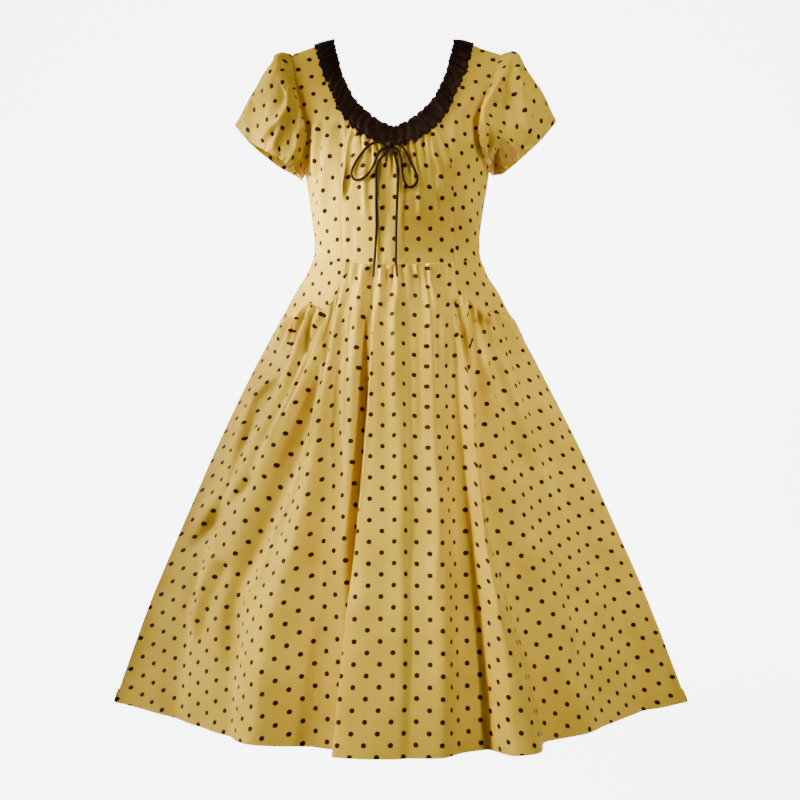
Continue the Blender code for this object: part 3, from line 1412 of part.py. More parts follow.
def build_zip_pull():
    """Slider with two ears outside the seam, and the tab that swings between them."""
    turn, down = locate(0.0, SLIDER_Z, True)
    spot = torso(180.0, down)
    n = torso_normal(180.0, down)
    lean = math.atan2(float(n[2]), float(n[1]))
    origin = spot + n * (WALL / 2 + SEAM_GAP - 0.0004)
    half, deep, tall = SLIDER_SIZE[0] / 2, SLIDER_SIZE[1], SLIDER_SIZE[2]
    top = deep + EAR_RISE
    inner = half - EAR_WALL
    channel = [(-half, 0), (half, 0), (half, top), (inner, top), (inner, deep), (-inner, deep)]
    channel += [(-inner, top), (-half, top)]
    drawn_out("zip_slider", channel, "Z", (-tall / 2, tall / 2), lean, origin)
    # the tab: a round barrel between the ears and a tongue that hangs down from it
    radius = PULL_SIZE[1] * 0.75
    thick = PULL_SIZE[1] / 2
    dip = math.degrees(math.asin(thick / radius))
    outline = []
    for k in range(11):
        a = math.radians(-90 + dip + (360 - 2 * dip) * k / 10)
        outline.append((radius * math.cos(a), radius * math.sin(a)))
    outline += [(-thick, -PULL_SIZE[2]), (thick, -PULL_SIZE[2])]
    axis = origin + turned((0, deep + radius + PULL_CLEARANCE, 0), lean)
    width = PULL_SIZE[0] / 2
    drawn_out("zip_pull", outline, "X", (-width, width), lean, axis)


def turned(v, lean):
    """A vector of the slider's own frame in the dress's frame."""
    c = math.cos(lean)
    s = math.sin(lean)
    return np.array([v[0], v[1] * c - v[2] * s, v[1] * s + v[2] * c])


def build():
    """Builds the dress."""
    for obj in list(bpy.data.objects):
        bpy.data.objects.remove(obj)
    build_bodice_front()
    build_side_fronts()
    build_backs()
    build_yokes()
    build_skirt_front()
    build_skirt_backs()
    build_sleeves()
    build_trim()
    build_knot()
    build_cord("bow_loop_left", LOOP_LEFT, 17)
    build_cord("bow_loop_right", LOOP_RIGHT, 17)
    build_cord("bow_tail_left", TAIL_LEFT, 20)
    build_cord("bow_tail_right", TAIL_RIGHT, 20)
    build_tape()
    build_zip_pull()


build()
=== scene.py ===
"""Looks of the A-line dress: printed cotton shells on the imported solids, ribbon trim, drawstring and zip.

Metres, +Z up, front at -Y. Each shell lies on the form that its solid was built on.
"""
import math

import bmesh
import bpy
import numpy as np
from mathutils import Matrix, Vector


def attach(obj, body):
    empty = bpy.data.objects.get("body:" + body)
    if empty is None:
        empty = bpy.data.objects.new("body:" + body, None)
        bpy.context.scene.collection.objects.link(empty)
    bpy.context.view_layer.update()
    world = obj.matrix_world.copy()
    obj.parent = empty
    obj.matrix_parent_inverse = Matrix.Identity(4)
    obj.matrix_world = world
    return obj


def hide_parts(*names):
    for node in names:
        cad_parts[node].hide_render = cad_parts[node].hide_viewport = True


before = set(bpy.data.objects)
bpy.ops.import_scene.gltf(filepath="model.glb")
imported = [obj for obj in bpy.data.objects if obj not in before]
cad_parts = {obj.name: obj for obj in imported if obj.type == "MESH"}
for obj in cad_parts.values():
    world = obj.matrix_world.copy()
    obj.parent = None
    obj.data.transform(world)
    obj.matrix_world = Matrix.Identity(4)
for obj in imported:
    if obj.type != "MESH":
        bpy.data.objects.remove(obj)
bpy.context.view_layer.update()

# Driving sizes
WALL = 0.0012            # cloth wall
SEAM_GAP = 0.0003        # between two pieces sewn together
WAIST_Z = -0.340         # waist seam at the sides
WAIST_DIP = 0.013        # how much lower it runs at the centre front
HEM_Z = -1.0245          # floor-side edge of the skirt at the sides
HEM_DIP = 0.0200         # how much lower the hem hangs at the centre front
SHOULDER_SLOPE = 0.335   # fall of the shoulder seam per metre outward
NECK_HALF = 0.0932       # half the neck opening at the shoulder
NECK_SHIFT = -0.0045     # the neck hangs slightly off centre
CORD_RADIUS = 0.0020     # drawstring
SEAM_PLACE = 0.88        # where the neck seam lies across the trim, 0 inner edge, 1 outer edge

# Torso sections from the shoulder ridge (down 0) to the waist (down 1)
# down, height, front depth, back depth, half width
TORSO = [
    (0.000, 0.0000, 0.0000, 0.0000, 0.1900),
    (0.040, -0.0012, 0.0120, 0.0120, 0.1893),
    (0.080, -0.0050, 0.0240, 0.0240, 0.1878),
    (0.120, -0.0130, 0.0345, 0.0355, 0.1853),
    (0.180, -0.0280, 0.0475, 0.0500, 0.1808),
    (0.260, -0.0520, 0.0620, 0.0670, 0.1752),
    (0.360, -0.0850, 0.0790, 0.0815, 0.1680),
    (0.460, -0.1180, 0.0960, 0.0915, 0.1605),
    (0.560, -0.1500, 0.1105, 0.0978, 0.1528),
    (0.640, -0.1760, 0.1190, 0.1005, 0.1470),
    (0.710, -0.2000, 0.1220, 0.1010, 0.1425),
    (0.790, -0.2300, 0.1190, 0.0990, 0.1385),
    (0.870, -0.2680, 0.1090, 0.0950, 0.1328),
    (0.940, -0.3050, 0.0995, 0.0915, 0.1283),
    (0.975, -0.3250, 0.0970, 0.0905, 0.1280),
    (1.000, -0.3400, 0.0960, 0.0900, 0.1305),
]

# Skirt sections: height, half width, front depth, back depth, pointedness of the sides, shift in X
SKIRT = [
    (-0.3400, 0.1305, 0.0960, 0.0900, 1.00, 0.0000),
    (-0.3620, 0.1397, 0.1040, 0.0975, 1.05, 0.0000),
    (-0.3850, 0.1545, 0.1130, 0.1055, 1.13, 0.0000),
    (-0.4160, 0.1712, 0.1235, 0.1150, 1.26, 0.0000),
    (-0.4470, 0.1886, 0.1335, 0.1245, 1.42, 0.0000),
    (-0.5170, 0.2259, 0.1570, 0.1465, 1.76, 0.0000),
    (-0.6333, 0.2830, 0.1950, 0.1830, 2.12, 0.0020),
    (-0.7265, 0.3245, 0.2250, 0.2100, 2.32, 0.0030),
    (-0.8663, 0.3850, 0.2670, 0.2490, 2.50, 0.0040),
    (-1.0245, 0.4440, 0.3080, 0.2860, 2.60, 0.0060),
]

# Long folds of the front: each line runs from the waist to the hem, at X in metres, and stands out
# from its section (minus: sinks in) at four heights
FOLD_HEIGHTS = (-0.345, -0.4825, -0.700, -0.860, -1.0245)
# name, waist_x, hip_x, hip_out, mid_x, mid_out, low_x, low_out, hem_x, hem_out
FRONT_FOLDS = [
    ("v0", -0.115, -0.165, -0.006, -0.282, -0.010, -0.325, -0.010, -0.361, -0.008),
    ("a1", -0.105, -0.148, 0.008, -0.241, 0.012, -0.291, 0.006, -0.309, -0.002),
    ("v1", -0.097, -0.136, -0.004, -0.229, 0.011, -0.277, 0.006, -0.287, 0.000),
    ("a2", -0.088, -0.121, 0.006, -0.218, 0.012, -0.263, 0.005, -0.268, 0.003),
    ("v2", -0.0815, -0.107, -0.006, -0.174, -0.012, -0.236, -0.007, -0.240, 0.005),
    ("b1", -0.076, -0.095, 0.008, -0.126, 0.018, -0.172, 0.024, -0.194, 0.027),
    ("v3", -0.066, -0.080, -0.005, -0.096, -0.004, -0.111, -0.014, -0.127, -0.020),
    ("b2", -0.049, -0.060, 0.008, -0.069, 0.004, -0.082, -0.014, -0.096, -0.021),
    ("c_foot", -0.037, -0.041, -0.008, -0.057, -0.014, -0.071, -0.018, -0.086, -0.021),
    ("c_edge", -0.030, -0.035, 0.005, -0.049, 0.012, -0.065, 0.020, -0.080, 0.026),
    ("c_top", -0.024, -0.027, 0.008, -0.040, 0.014, -0.053, 0.022, -0.066, 0.027),
    ("v4", -0.014, -0.013, 0.000, -0.012, 0.010, -0.017, 0.018, -0.023, 0.023),
    ("d", -0.001, 0.002, 0.008, 0.005, 0.014, 0.005, 0.020, 0.002, 0.022),
    ("v5", 0.011, 0.019, -0.003, 0.019, 0.004, 0.021, 0.011, 0.019, 0.017),
    ("v6", 0.029, 0.040, -0.004, 0.033, 0.002, 0.037, 0.010, 0.031, 0.018),
    ("e", 0.048, 0.059, 0.008, 0.063, 0.014, 0.061, 0.017, 0.057, 0.021),
    ("v7", 0.074, 0.085, -0.006, 0.089, -0.010, 0.097, -0.009, 0.101, -0.006),
    ("f_foot", 0.081, 0.093, -0.001, 0.101, -0.004, 0.116, -0.005, 0.129, -0.006),
    ("f_edge", 0.0865, 0.100, 0.009, 0.110, 0.022, 0.128, 0.036, 0.138, 0.050),
    ("f_top", 0.0905, 0.106, 0.006, 0.118, 0.018, 0.139, 0.036, 0.158, 0.056),
    ("v8", 0.096, 0.119, -0.008, 0.143, -0.010, 0.184, -0.006, 0.212, 0.004),
    ("r1", 0.102, 0.132, 0.006, 0.172, 0.004, 0.224, 0.004, 0.260, 0.009),
    ("v9", 0.108, 0.146, -0.005, 0.205, -0.005, 0.266, -0.003, 0.310, 0.000),
    ("r2", 0.114, 0.160, 0.004, 0.229, 0.002, 0.302, -0.002, 0.352, -0.008),
    ("v10", 0.119, 0.175, -0.004, 0.254, -0.004, 0.334, -0.006, 0.384, -0.014),
    ("r3", 0.124, 0.190, 0.004, 0.284, 0.004, 0.367, 0.001, 0.416, -0.006),
]
YOKE_LINE_LEFT = "v2"     # the fold line under the inner edge of the yoke at -X
YOKE_LINE_RIGHT = "f_edge"
MEASURE_Z = -0.70         # the height at which the cloth of the folds is measured

# Long folds of the back, the same columns, from +X round to -X
BACK_FOLDS = [
    ("g1", 0.116, 0.172, 0.004, 0.275, 0.004, 0.345, -0.002, 0.384, -0.008),
    ("g2", 0.101, 0.148, -0.005, 0.230, -0.008, 0.288, -0.012, 0.322, -0.018),
    ("g3", 0.087, 0.126, 0.006, 0.190, 0.012, 0.235, 0.014, 0.262, 0.012),
    ("g4", 0.073, 0.104, -0.006, 0.148, -0.010, 0.182, -0.010, 0.204, -0.008),
    ("g5", 0.059, 0.082, 0.008, 0.112, 0.018, 0.140, 0.028, 0.158, 0.036),
    ("g6", 0.045, 0.061, -0.006, 0.078, -0.010, 0.096, -0.014, 0.108, -0.018),
    ("g7", 0.030, 0.040, 0.006, 0.050, 0.012, 0.060, 0.020, 0.066, 0.026),
    ("g8", 0.015, 0.019, 0.000, 0.022, -0.002, 0.026, 0.000, 0.030, 0.002),
    ("centre", 0.000, 0.000, 0.000, 0.000, 0.000, 0.000, 0.002, 0.000, 0.004),
    ("h1", -0.014, -0.017, 0.000, -0.020, -0.004, -0.024, -0.004, -0.028, -0.004),
    ("h2", -0.028, -0.037, 0.006, -0.044, 0.010, -0.052, 0.012, -0.058, 0.014),
    ("h3", -0.041, -0.055, -0.006, -0.066, -0.008, -0.078, -0.008, -0.088, -0.008),
    ("h4", -0.053, -0.072, 0.007, -0.094, 0.014, -0.110, 0.024, -0.122, 0.034),
    ("h5", -0.066, -0.094, -0.006, -0.130, -0.010, -0.158, -0.014, -0.172, -0.020),
    ("h6", -0.079, -0.112, 0.008, -0.168, 0.018, -0.205, 0.026, -0.222, 0.030),
    ("h7", -0.092, -0.131, -0.005, -0.205, -0.010, -0.245, -0.008, -0.270, -0.004),
    ("h8", -0.104, -0.150, 0.006, -0.240, 0.012, -0.292, 0.010, -0.322, 0.004),
    ("h9", -0.118, -0.170, -0.004, -0.285, -0.008, -0.350, -0.012, -0.384, -0.014),
]

# Lower edge of the two front yokes, from the inner corner to the side seam: X, height
YOKE_EDGE_LEFT = [
    (-0.0907, -0.3992),
    (-0.1029, -0.4124),
    (-0.1121, -0.4188),
    (-0.1198, -0.4140),
    (-0.1338, -0.4082),
    (-0.1418, -0.4169),
    (-0.1499, -0.4285),
    (-0.1616, -0.4284),
    (-0.1754, -0.4269),
]
YOKE_EDGE_RIGHT = [
    (0.0920, -0.3977),
    (0.1063, -0.4048),
    (0.1133, -0.4090),
    (0.1260, -0.4184),
    (0.1359, -0.4246),
    (0.1470, -0.4174),
    (0.1602, -0.4228),
    (0.1656, -0.4286),
    (0.1770, -0.4285),
]

# Gathers: X where they leave the seam, half width, height, length
WAIST_GATHERS = [
    (-0.0770, 0.0050, 0.0020, 0.040),
    (-0.0660, 0.0050, 0.0014, 0.030),
    (-0.0500, 0.0085, 0.0034, 0.080),
    (-0.0235, 0.0065, 0.0040, 0.075),
    (-0.0115, 0.0045, 0.0026, 0.040),
    (-0.0010, 0.0050, 0.0036, 0.070),
    (0.0130, 0.0060, 0.0034, 0.060),
    (0.0265, 0.0050, 0.0026, 0.045),
    (0.0360, 0.0042, 0.0022, 0.035),
    (0.0465, 0.0048, 0.0036, 0.080),
]
YOKE_GATHERS = [
    (-0.1640, 0.0060, 0.0030, 0.050),
    (-0.1520, 0.0050, 0.0026, 0.060),
    (-0.1400, 0.0052, 0.0034, 0.075),
    (-0.1260, 0.0058, 0.0036, 0.060),
    (-0.1130, 0.0052, 0.0026, 0.040),
    (-0.1000, 0.0048, 0.0024, 0.050),
    (0.1010, 0.0050, 0.0026, 0.070),
    (0.1120, 0.0048, 0.0030, 0.060),
    (0.1230, 0.0052, 0.0034, 0.075),
    (0.1350, 0.0050, 0.0030, 0.055),
    (0.1470, 0.0052, 0.0028, 0.060),
    (0.1590, 0.0055, 0.0022, 0.045),
]
BACK_GATHERS = [
    (0.1000, 0.0060, 0.0024, 0.050),
    (0.0860, 0.0060, 0.0032, 0.070),
    (0.0730, 0.0050, 0.0026, 0.050),
    (0.0600, 0.0060, 0.0038, 0.080),
    (0.0470, 0.0052, 0.0026, 0.045),
    (0.0340, 0.0060, 0.0034, 0.070),
    (-0.0320, 0.0058, 0.0034, 0.065),
    (-0.0450, 0.0050, 0.0026, 0.045),
    (-0.0560, 0.0056, 0.0036, 0.080),
    (-0.0690, 0.0050, 0.0024, 0.050),
    (-0.0810, 0.0060, 0.0036, 0.070),
    (-0.0960, 0.0060, 0.0024, 0.050),
]
# Gathers of the neckline on the centre front: X at the neck seam, half width, height, length
NECK_GATHERS = [
    (-0.0600, 0.0055, 0.0016, 0.075),
    (-0.0485, 0.0055, 0.0026, 0.110),
    (-0.0365, 0.0050, 0.0030, 0.075),
    (-0.0255, 0.0048, 0.0028, 0.115),
    (-0.0145, 0.0048, 0.0024, 0.060),
    (-0.0035, 0.0048, 0.0028, 0.080),
    (0.0075, 0.0050, 0.0024, 0.060),
    (0.0190, 0.0052, 0.0028, 0.095),
    (0.0300, 0.0052, 0.0026, 0.115),
    (0.0415, 0.0050, 0.0026, 0.060),
    (0.0530, 0.0050, 0.0020, 0.045),
]

# Neckline, from the centre to the shoulder: inner X, inner height, outer X, outer height of the trim
NECK_FRONT = [
    (0.0000, -0.1506, 0.0000, -0.1765),
    (0.0201, -0.1414, 0.0290, -0.1708),
    (0.0434, -0.1214, 0.0590, -0.1500),
    (0.0603, -0.1010, 0.0795, -0.1215),
    (0.0696, -0.0810, 0.0915, -0.0935),
    (0.0782, -0.0606, 0.1025, -0.0680),
    (0.0832, -0.0400, 0.1110, -0.0440),
    (0.0890, -0.0185, 0.1165, -0.0235),
]
NECK_BACK = [
    (0.0000, -0.1310, 0.0000, -0.1565),
    (0.0250, -0.1285, 0.0300, -0.1540),
    (0.0480, -0.1200, 0.0590, -0.1430),
    (0.0660, -0.1050, 0.0840, -0.1230),
    (0.0780, -0.0850, 0.1010, -0.0970),
    (0.0860, -0.0600, 0.1105, -0.0680),
    (0.0905, -0.0320, 0.1160, -0.0390),
    (0.0925, -0.0130, 0.1185, -0.0200),
]
NECK_OUTER_AT_SHOULDER = 0.1200
TIP_X = 0.1622            # shoulder tip
PRINCESS_AT_NECK = 0.38   # where the front seam meets the neck seam, from the centre to the shoulder

# Armholes, from just below the shoulder tip to just above the underarm: X, height
ARMHOLE_FRONT_LEFT = [
    (0.1580, -0.0450),
    (0.1535, -0.0760),
    (0.1475, -0.1100),
    (0.1415, -0.1450),
    (0.1378, -0.1750),
    (0.1385, -0.1960),
]
ARMHOLE_FRONT_RIGHT = [
    (0.1520, -0.0450),
    (0.1395, -0.0760),
    (0.1285, -0.1100),
    (0.1235, -0.1420),
    (0.1270, -0.1700),
    (0.1345, -0.1890),
]
ARMHOLE_BACK = [
    (0.1545, -0.0450),
    (0.1460, -0.0760),
    (0.1385, -0.1100),
    (0.1345, -0.1430),
    (0.1350, -0.1720),
    (0.1385, -0.1920),
]
UNDERARM_LEFT = 0.727     # how far down the side seam the underarm is
UNDERARM_RIGHT = 0.715

# Sleeve hems as seen from outside, once round from the top: share of the round, distance out in X,
# Y, height
SLEEVE_HEM_LEFT = [
    (0.00, 0.2505, 0.004, -0.1305),
    (0.06, 0.2352, -0.025, -0.1498),
    (0.13, 0.2142, -0.045, -0.1682),
    (0.21, 0.1912, -0.060, -0.1822),
    (0.32, 0.1640, -0.060, -0.1985),
    (0.42, 0.1500, -0.040, -0.2110),
    (0.50, 0.1480, 0.000, -0.2150),
    (0.58, 0.1525, 0.024, -0.2090),
    (0.68, 0.1630, 0.044, -0.2005),
    (0.78, 0.1830, 0.056, -0.1890),
    (0.88, 0.2080, 0.052, -0.1710),
    (0.95, 0.2330, 0.032, -0.1500),
]
SLEEVE_HEM_RIGHT = [
    (0.00, 0.2475, 0.004, -0.1230),
    (0.06, 0.2303, -0.030, -0.1444),
    (0.13, 0.2132, -0.046, -0.1605),
    (0.22, 0.1854, -0.062, -0.1770),
    (0.29, 0.1680, -0.068, -0.1674),
    (0.36, 0.1510, -0.064, -0.1772),
    (0.42, 0.1470, -0.048, -0.1900),
    (0.50, 0.1490, 0.000, -0.2080),
    (0.57, 0.1520, 0.028, -0.2030),
    (0.67, 0.1650, 0.048, -0.1990),
    (0.76, 0.1830, 0.058, -0.1850),
    (0.86, 0.2060, 0.054, -0.1650),
    (0.94, 0.2300, 0.034, -0.1430),
]
# How far the sleeve stands off the straight line from armhole to hem: along, share of the fullness
PUFF = [(0.00, 0.00), (0.06, 0.82), (0.16, 1.00), (0.38, 0.95), (0.62, 0.74), (0.82, 0.42), (1.00, 0.00)]
# round, fullness
PUFF_ROUND = [(0.00, 0.0165), (0.12, 0.020), (0.28, 0.016), (0.38, 0.006), (0.44, 0.0005),
              (0.50, 0.0), (0.56, 0.0005), (0.64, 0.006), (0.74, 0.014), (0.88, 0.019), (1.00, 0.0165)]
# Sleeve ridges: round at the armhole, round at the hem, half width, height, where along it peaks, reach
SLEEVE_RIDGES_BACK = [
    (0.700, 0.720, 0.035, 0.0030, 0.15, 0.50),
    (0.790, 0.800, 0.035, 0.0040, 0.30, 0.80),
    (0.880, 0.880, 0.030, 0.0030, 0.12, 0.40),
    (0.955, 0.950, 0.030, 0.0030, 0.12, 0.40),
]
SLEEVE_RIDGES_LEFT = [
    (0.045, 0.050, 0.035, 0.0040, 0.14, 0.55),
    (0.110, 0.090, 0.030, 0.0030, 0.10, 0.35),
    (0.200, 0.150, 0.040, 0.0085, 0.55, 1.05),
    (0.280, 0.280, 0.035, 0.0040, 0.20, 0.60),
    (0.360, 0.370, 0.030, 0.0025, 0.12, 0.40),
]
SLEEVE_RIDGES_RIGHT = [
    (0.030, 0.045, 0.030, 0.0032, 0.12, 0.45),
    (0.095, 0.110, 0.035, 0.0070, 0.45, 1.00),
    (0.170, 0.200, 0.030, 0.0030, 0.12, 0.40),
    (0.245, 0.250, 0.040, 0.0045, 0.30, 0.95),
    (0.340, 0.360, 0.030, 0.0026, 0.15, 0.45),
]

# Drawstring, each strand from the knot outward: X, height, distance in front of the bodice
KNOT = (-0.0100, -0.1790, 0.0068)
LOOP_LEFT = [
    (-0.0162, -0.1762, 0.0070),
    (-0.0280, -0.1737, 0.0068),
    (-0.0420, -0.1790, 0.0056),
    (-0.0540, -0.1925, 0.0048),
    (-0.0640, -0.2080, 0.0044),
    (-0.0675, -0.2200, 0.0044),
    (-0.0630, -0.2285, 0.0046),
    (-0.0530, -0.2280, 0.0048),
    (-0.0420, -0.2200, 0.0050),
    (-0.0345, -0.2080, 0.0054),
    (-0.0295, -0.1960, 0.0058),
    (-0.0240, -0.1862, 0.0064),
    (-0.0162, -0.1824, 0.0070),
]
LOOP_RIGHT = [
    (-0.0029, -0.1762, 0.0070),
    (0.0060, -0.1792, 0.0066),
    (0.0140, -0.1900, 0.0056),
    (0.0215, -0.2050, 0.0048),
    (0.0280, -0.2190, 0.0046),
    (0.0305, -0.2300, 0.0044),
    (0.0250, -0.2385, 0.0046),
    (0.0170, -0.2400, 0.0048),
    (0.0110, -0.2320, 0.0050),
    (0.0085, -0.2200, 0.0052),
    (0.0070, -0.2060, 0.0056),
    (0.0037, -0.1900, 0.0064),
    (-0.0024, -0.1824, 0.0070),
]
TAIL_LEFT = [
    (-0.0124, -0.1848, 0.0066),
    (-0.0185, -0.1925, 0.0060),
    (-0.0285, -0.2060, 0.0052),
    (-0.0305, -0.2300, 0.0046),
    (-0.0308, -0.2620, 0.0042),
    (-0.0306, -0.2960, 0.0040),
    (-0.0320, -0.3260, 0.0040),
    (-0.0338, -0.3500, 0.0050),
    (-0.0350, -0.3720, 0.0078),
]
TAIL_RIGHT = [
    (-0.0076, -0.1848, 0.0066),
    (-0.0032, -0.1940, 0.0060),
    (0.0008, -0.2120, 0.0052),
    (0.0012, -0.2360, 0.0046),
    (0.0003, -0.2640, 0.0042),
    (-0.0008, -0.2950, 0.0040),
    (-0.0010, -0.3250, 0.0040),
    (-0.0014, -0.3500, 0.0050),
    (0.0002, -0.3725, 0.0078),
]

# Zip at the centre back
TAPE_HALF = 0.011
TAPE_WALL = 0.0010
COIL_PITCH = 0.0017      # between two bars of the coil

# Sewing and the sizes of flat pieces
SHELL_WALL = 0.0007      # cloth wall of the fine shells
RIBBON_WALL = 0.0006
EDGE_INSET = 0.0005      # an edge starts this far inside its seam
SEAM_TUCK = 0.003        # how deep a seam turns in
STITCH_PITCH = 0.0032
STITCH_LENGTH = 0.0022
STITCH_WIDTH = 0.00045
STITCH_HEIGHT = 0.0003
SKIRT_TURN_UP = 0.022
SLEEVE_TURN_UP = 0.007
SLEEVE_ROUND = 0.40      # round the flat sleeve
SLEEVE_DROP = 0.11       # from its armhole to its hem
TRIM_LENGTH = 0.62       # each half of the ribbon before it is ruched
TRIM_WIDTH = 0.026


def curve_at(xs, ys, x):
    """Monotone cubic through (xs, ys), read at x; xs may fall as well as rise."""
    xs = np.asarray(xs, float)
    ys = np.asarray(ys, float)
    x = np.asarray(x, float)
    if xs[0] > xs[-1]:
        xs = -xs
        x = -x
    h = np.diff(xs)
    d = np.diff(ys) / h
    m = np.empty(len(xs))
    m[0] = d[0]
    m[-1] = d[-1]
    same = d[:-1] * d[1:] > 0
    w1 = 2 * h[1:] + h[:-1]
    w2 = h[1:] + 2 * h[:-1]
    with np.errstate(divide="ignore", invalid="ignore"):
        mean = (w1 + w2) / (w1 / d[:-1] + w2 / d[1:])
    m[1:-1] = np.where(same, mean, 0.0)
    k = np.clip(np.searchsorted(xs, x) - 1, 0, len(xs) - 2)
    t = np.clip((x - xs[k]) / h[k], 0.0, 1.0)
    t2 = t * t
    t3 = t2 * t
    a = (2 * t3 - 3 * t2 + 1) * ys[k] + (t3 - 2 * t2 + t) * h[k] * m[k]
    b = (3 * t2 - 2 * t3) * ys[k + 1] + (t3 - t2) * h[k] * m[k + 1]
    return a + b


def step(x):
    """Smooth 0 to 1."""
    x = np.clip(x, 0.0, 1.0)
    return x * x * (3 - 2 * x)


def bump(x):
    """Smooth ridge: 1 at 0, 0 at -1 and 1."""
    return np.where(np.abs(x) < 1, np.cos(np.clip(x, -1, 1) * math.pi / 2) ** 2, 0.0)


def unit(v):
    """Rows of v at length 1."""
    return v / np.maximum(np.linalg.norm(v, axis=-1, keepdims=True), 1e-12)


def run_along(points):
    """Running length along a line of points, from 0."""
    return np.concatenate([[0], np.cumsum(np.linalg.norm(np.diff(points, axis=0), axis=1))])


def at_run(where, run, points):
    """Points at the running lengths where of a line."""
    return np.stack([np.interp(where, run, points[:, c]) for c in range(points.shape[1])], axis=-1)


def columns_at(table, x):
    """Every column of a table but the first, read at x in the first."""
    table = np.array(table)
    return [curve_at(table[:, 0], column, x) for column in table.T[1:]]


def last_place(holds, rounds, shape=()):
    """How far from 0 to 1 holds stays true, found by halving."""
    lo = np.zeros(shape)
    hi = np.ones(shape)
    for _ in range(rounds):
        mid = 0.5 * (lo + hi)
        true_here = holds(mid)
        lo = np.where(true_here, mid, lo)
        hi = np.where(true_here, hi, mid)
    return mid


def add_object(name, data, material=None):
    """A new object in the scene."""
    obj = bpy.data.objects.new(name, data)
    bpy.context.scene.collection.objects.link(obj)
    if material is not None:
        data.materials.append(material)
    return obj


# Torso form

TYPICAL_HALF = 0.145      # first guess of the torso's half width and depth
TYPICAL_DEPTH = 0.115
DOWNS = np.linspace(0.0, 1.0, 1201)
TORSO_FINE = columns_at(TORSO, DOWNS)
HEIGHTS = np.linspace(HEM_Z, WAIST_Z, 1201)
SKIRT_FINE = columns_at(SKIRT, HEIGHTS)


def torso(turn, down):
    """Points of the torso form: turn in degrees from the centre front to +X, down 0 to 1."""
    turn, down = np.broadcast_arrays(np.asarray(turn, float), np.asarray(down, float))
    height, front, back, half = [np.interp(down, DOWNS, column) for column in TORSO_FINE]
    sn = np.sin(np.radians(turn))
    cs = np.cos(np.radians(turn))
    x = half * sn
    depth = np.where(cs > 0, front, back)
    # the bust fills out beside the centre front
    fill = 0.006 * bump((np.abs(turn) - 36) / 30) * bump((down - 0.72) / 0.26)
    y = -depth * cs - np.where(cs > 0, fill, 0.0)
    beyond = np.abs(x) - 0.1
    fall = SHOULDER_SLOPE * 0.5 * (beyond + np.sqrt(beyond ** 2 + 0.004 ** 2))
    dip = WAIST_DIP * np.clip(cs, 0, 1) ** 2 * step((down - 0.7) / 0.3)
    z = height - fall * (1 - step(down / 0.62)) - dip
    return np.stack([x, y, z], axis=-1)


def torso_normal(turn, down):
    """Outward normals of the torso form."""
    turn, down = np.broadcast_arrays(np.asarray(turn, float), np.asarray(down, float))
    lo = np.clip(down - 0.004, 0.0, 1.0)
    hi = np.clip(down + 0.004, 0.0, 1.0)
    fallwards = torso(turn, hi) - torso(turn, lo)
    along = torso(turn + 0.5, down) - torso(turn - 0.5, down)
    return unit(np.cross(fallwards, along))


def locate(x, z, back=False):
    """Turn and down of the torso point at lateral x and height z."""
    def turn_at(down):
        half = float(np.interp(down, DOWNS, TORSO_FINE[3]))
        turn = math.degrees(math.asin(max(-1.0, min(1.0, x / half))))
        return 180.0 - turn if back else turn

    down = float(last_place(lambda mid: torso(turn_at(mid), mid)[2] > z, 30))
    return turn_at(down), down


def clear_of_torso(points, gap):
    """Moves points that come nearer to the torso form than gap straight outward."""
    x, y, z = points.T
    turn = np.degrees(np.arctan2(x / TYPICAL_HALF, -y / TYPICAL_DEPTH))
    for _ in range(3):
        down = last_place(lambda mid: torso(turn, mid)[:, 2] > z, 24, len(x))
        here = torso(turn, down)
        front, back, half = [np.interp(down, DOWNS, column) for column in TORSO_FINE[1:]]
        turn = np.degrees(np.arctan2(x / half, -y / np.maximum(np.where(y < 0, front, back), 0.02)))
    own = np.hypot(x, y)
    need = np.maximum(np.hypot(here[:, 0], here[:, 1]) + gap - own, 0.0) * (np.abs(here[:, 2] - z) < 0.01)
    out = points.copy()
    out[:, 0] += x / own * need
    out[:, 1] += y / own * need
    return out


def ridge_turn(x, back=False):
    """Turn of the point at x on the shoulder ridge."""
    turn = math.degrees(math.asin(x / TORSO[0][4]))
    return 180.0 - turn if back else turn


def neck_line(side, back, across):
    """Turn and down along one half of the neck, centre to shoulder, at a share across the trim."""
    table = NECK_BACK if back else NECK_FRONT
    points = []
    for inner_x, inner_z, outer_x, outer_z in table:
        inner = locate(side * inner_x + NECK_SHIFT, inner_z, back)
        outer = locate(side * outer_x + NECK_SHIFT, outer_z, back)
        points.append([(1 - across) * a + across * b for a, b in zip(inner, outer)])
    x = (1 - across) * NECK_HALF + across * NECK_OUTER_AT_SHOULDER
    points.append([ridge_turn(side * x + NECK_SHIFT, back), 0.0])
    points = np.array(points)
    if back:
        points[:, 0] %= 360.0
    return measured(points)


def measured(points):
    """A line of turn and down pairs with the share of its length at each."""
    points = np.array(points)
    run = run_along(torso(points[:, 0], points[:, 1]))
    return points, run / run[-1]


def read_line(line, t):
    """Turn and down at share t of a line."""
    points, run = line
    return np.stack([curve_at(run, points[:, 0], t), curve_at(run, points[:, 1], t)], axis=-1)


def underarm(side):
    """Down position of the underarm on the side seam."""
    return UNDERARM_RIGHT if side > 0 else UNDERARM_LEFT


def armhole_line(side, back):
    """Turn and down of half an armhole, underarm to shoulder tip."""
    front = ARMHOLE_FRONT_RIGHT if side > 0 else ARMHOLE_FRONT_LEFT
    places = [locate(side * x, z, back) for x, z in reversed(ARMHOLE_BACK if back else front)]
    points = np.array([(90.0 * side, underarm(side)), *places, (ridge_turn(side * TIP_X, back), 0.0)])
    if back:
        points[:, 0] %= 360.0
    return measured(points)


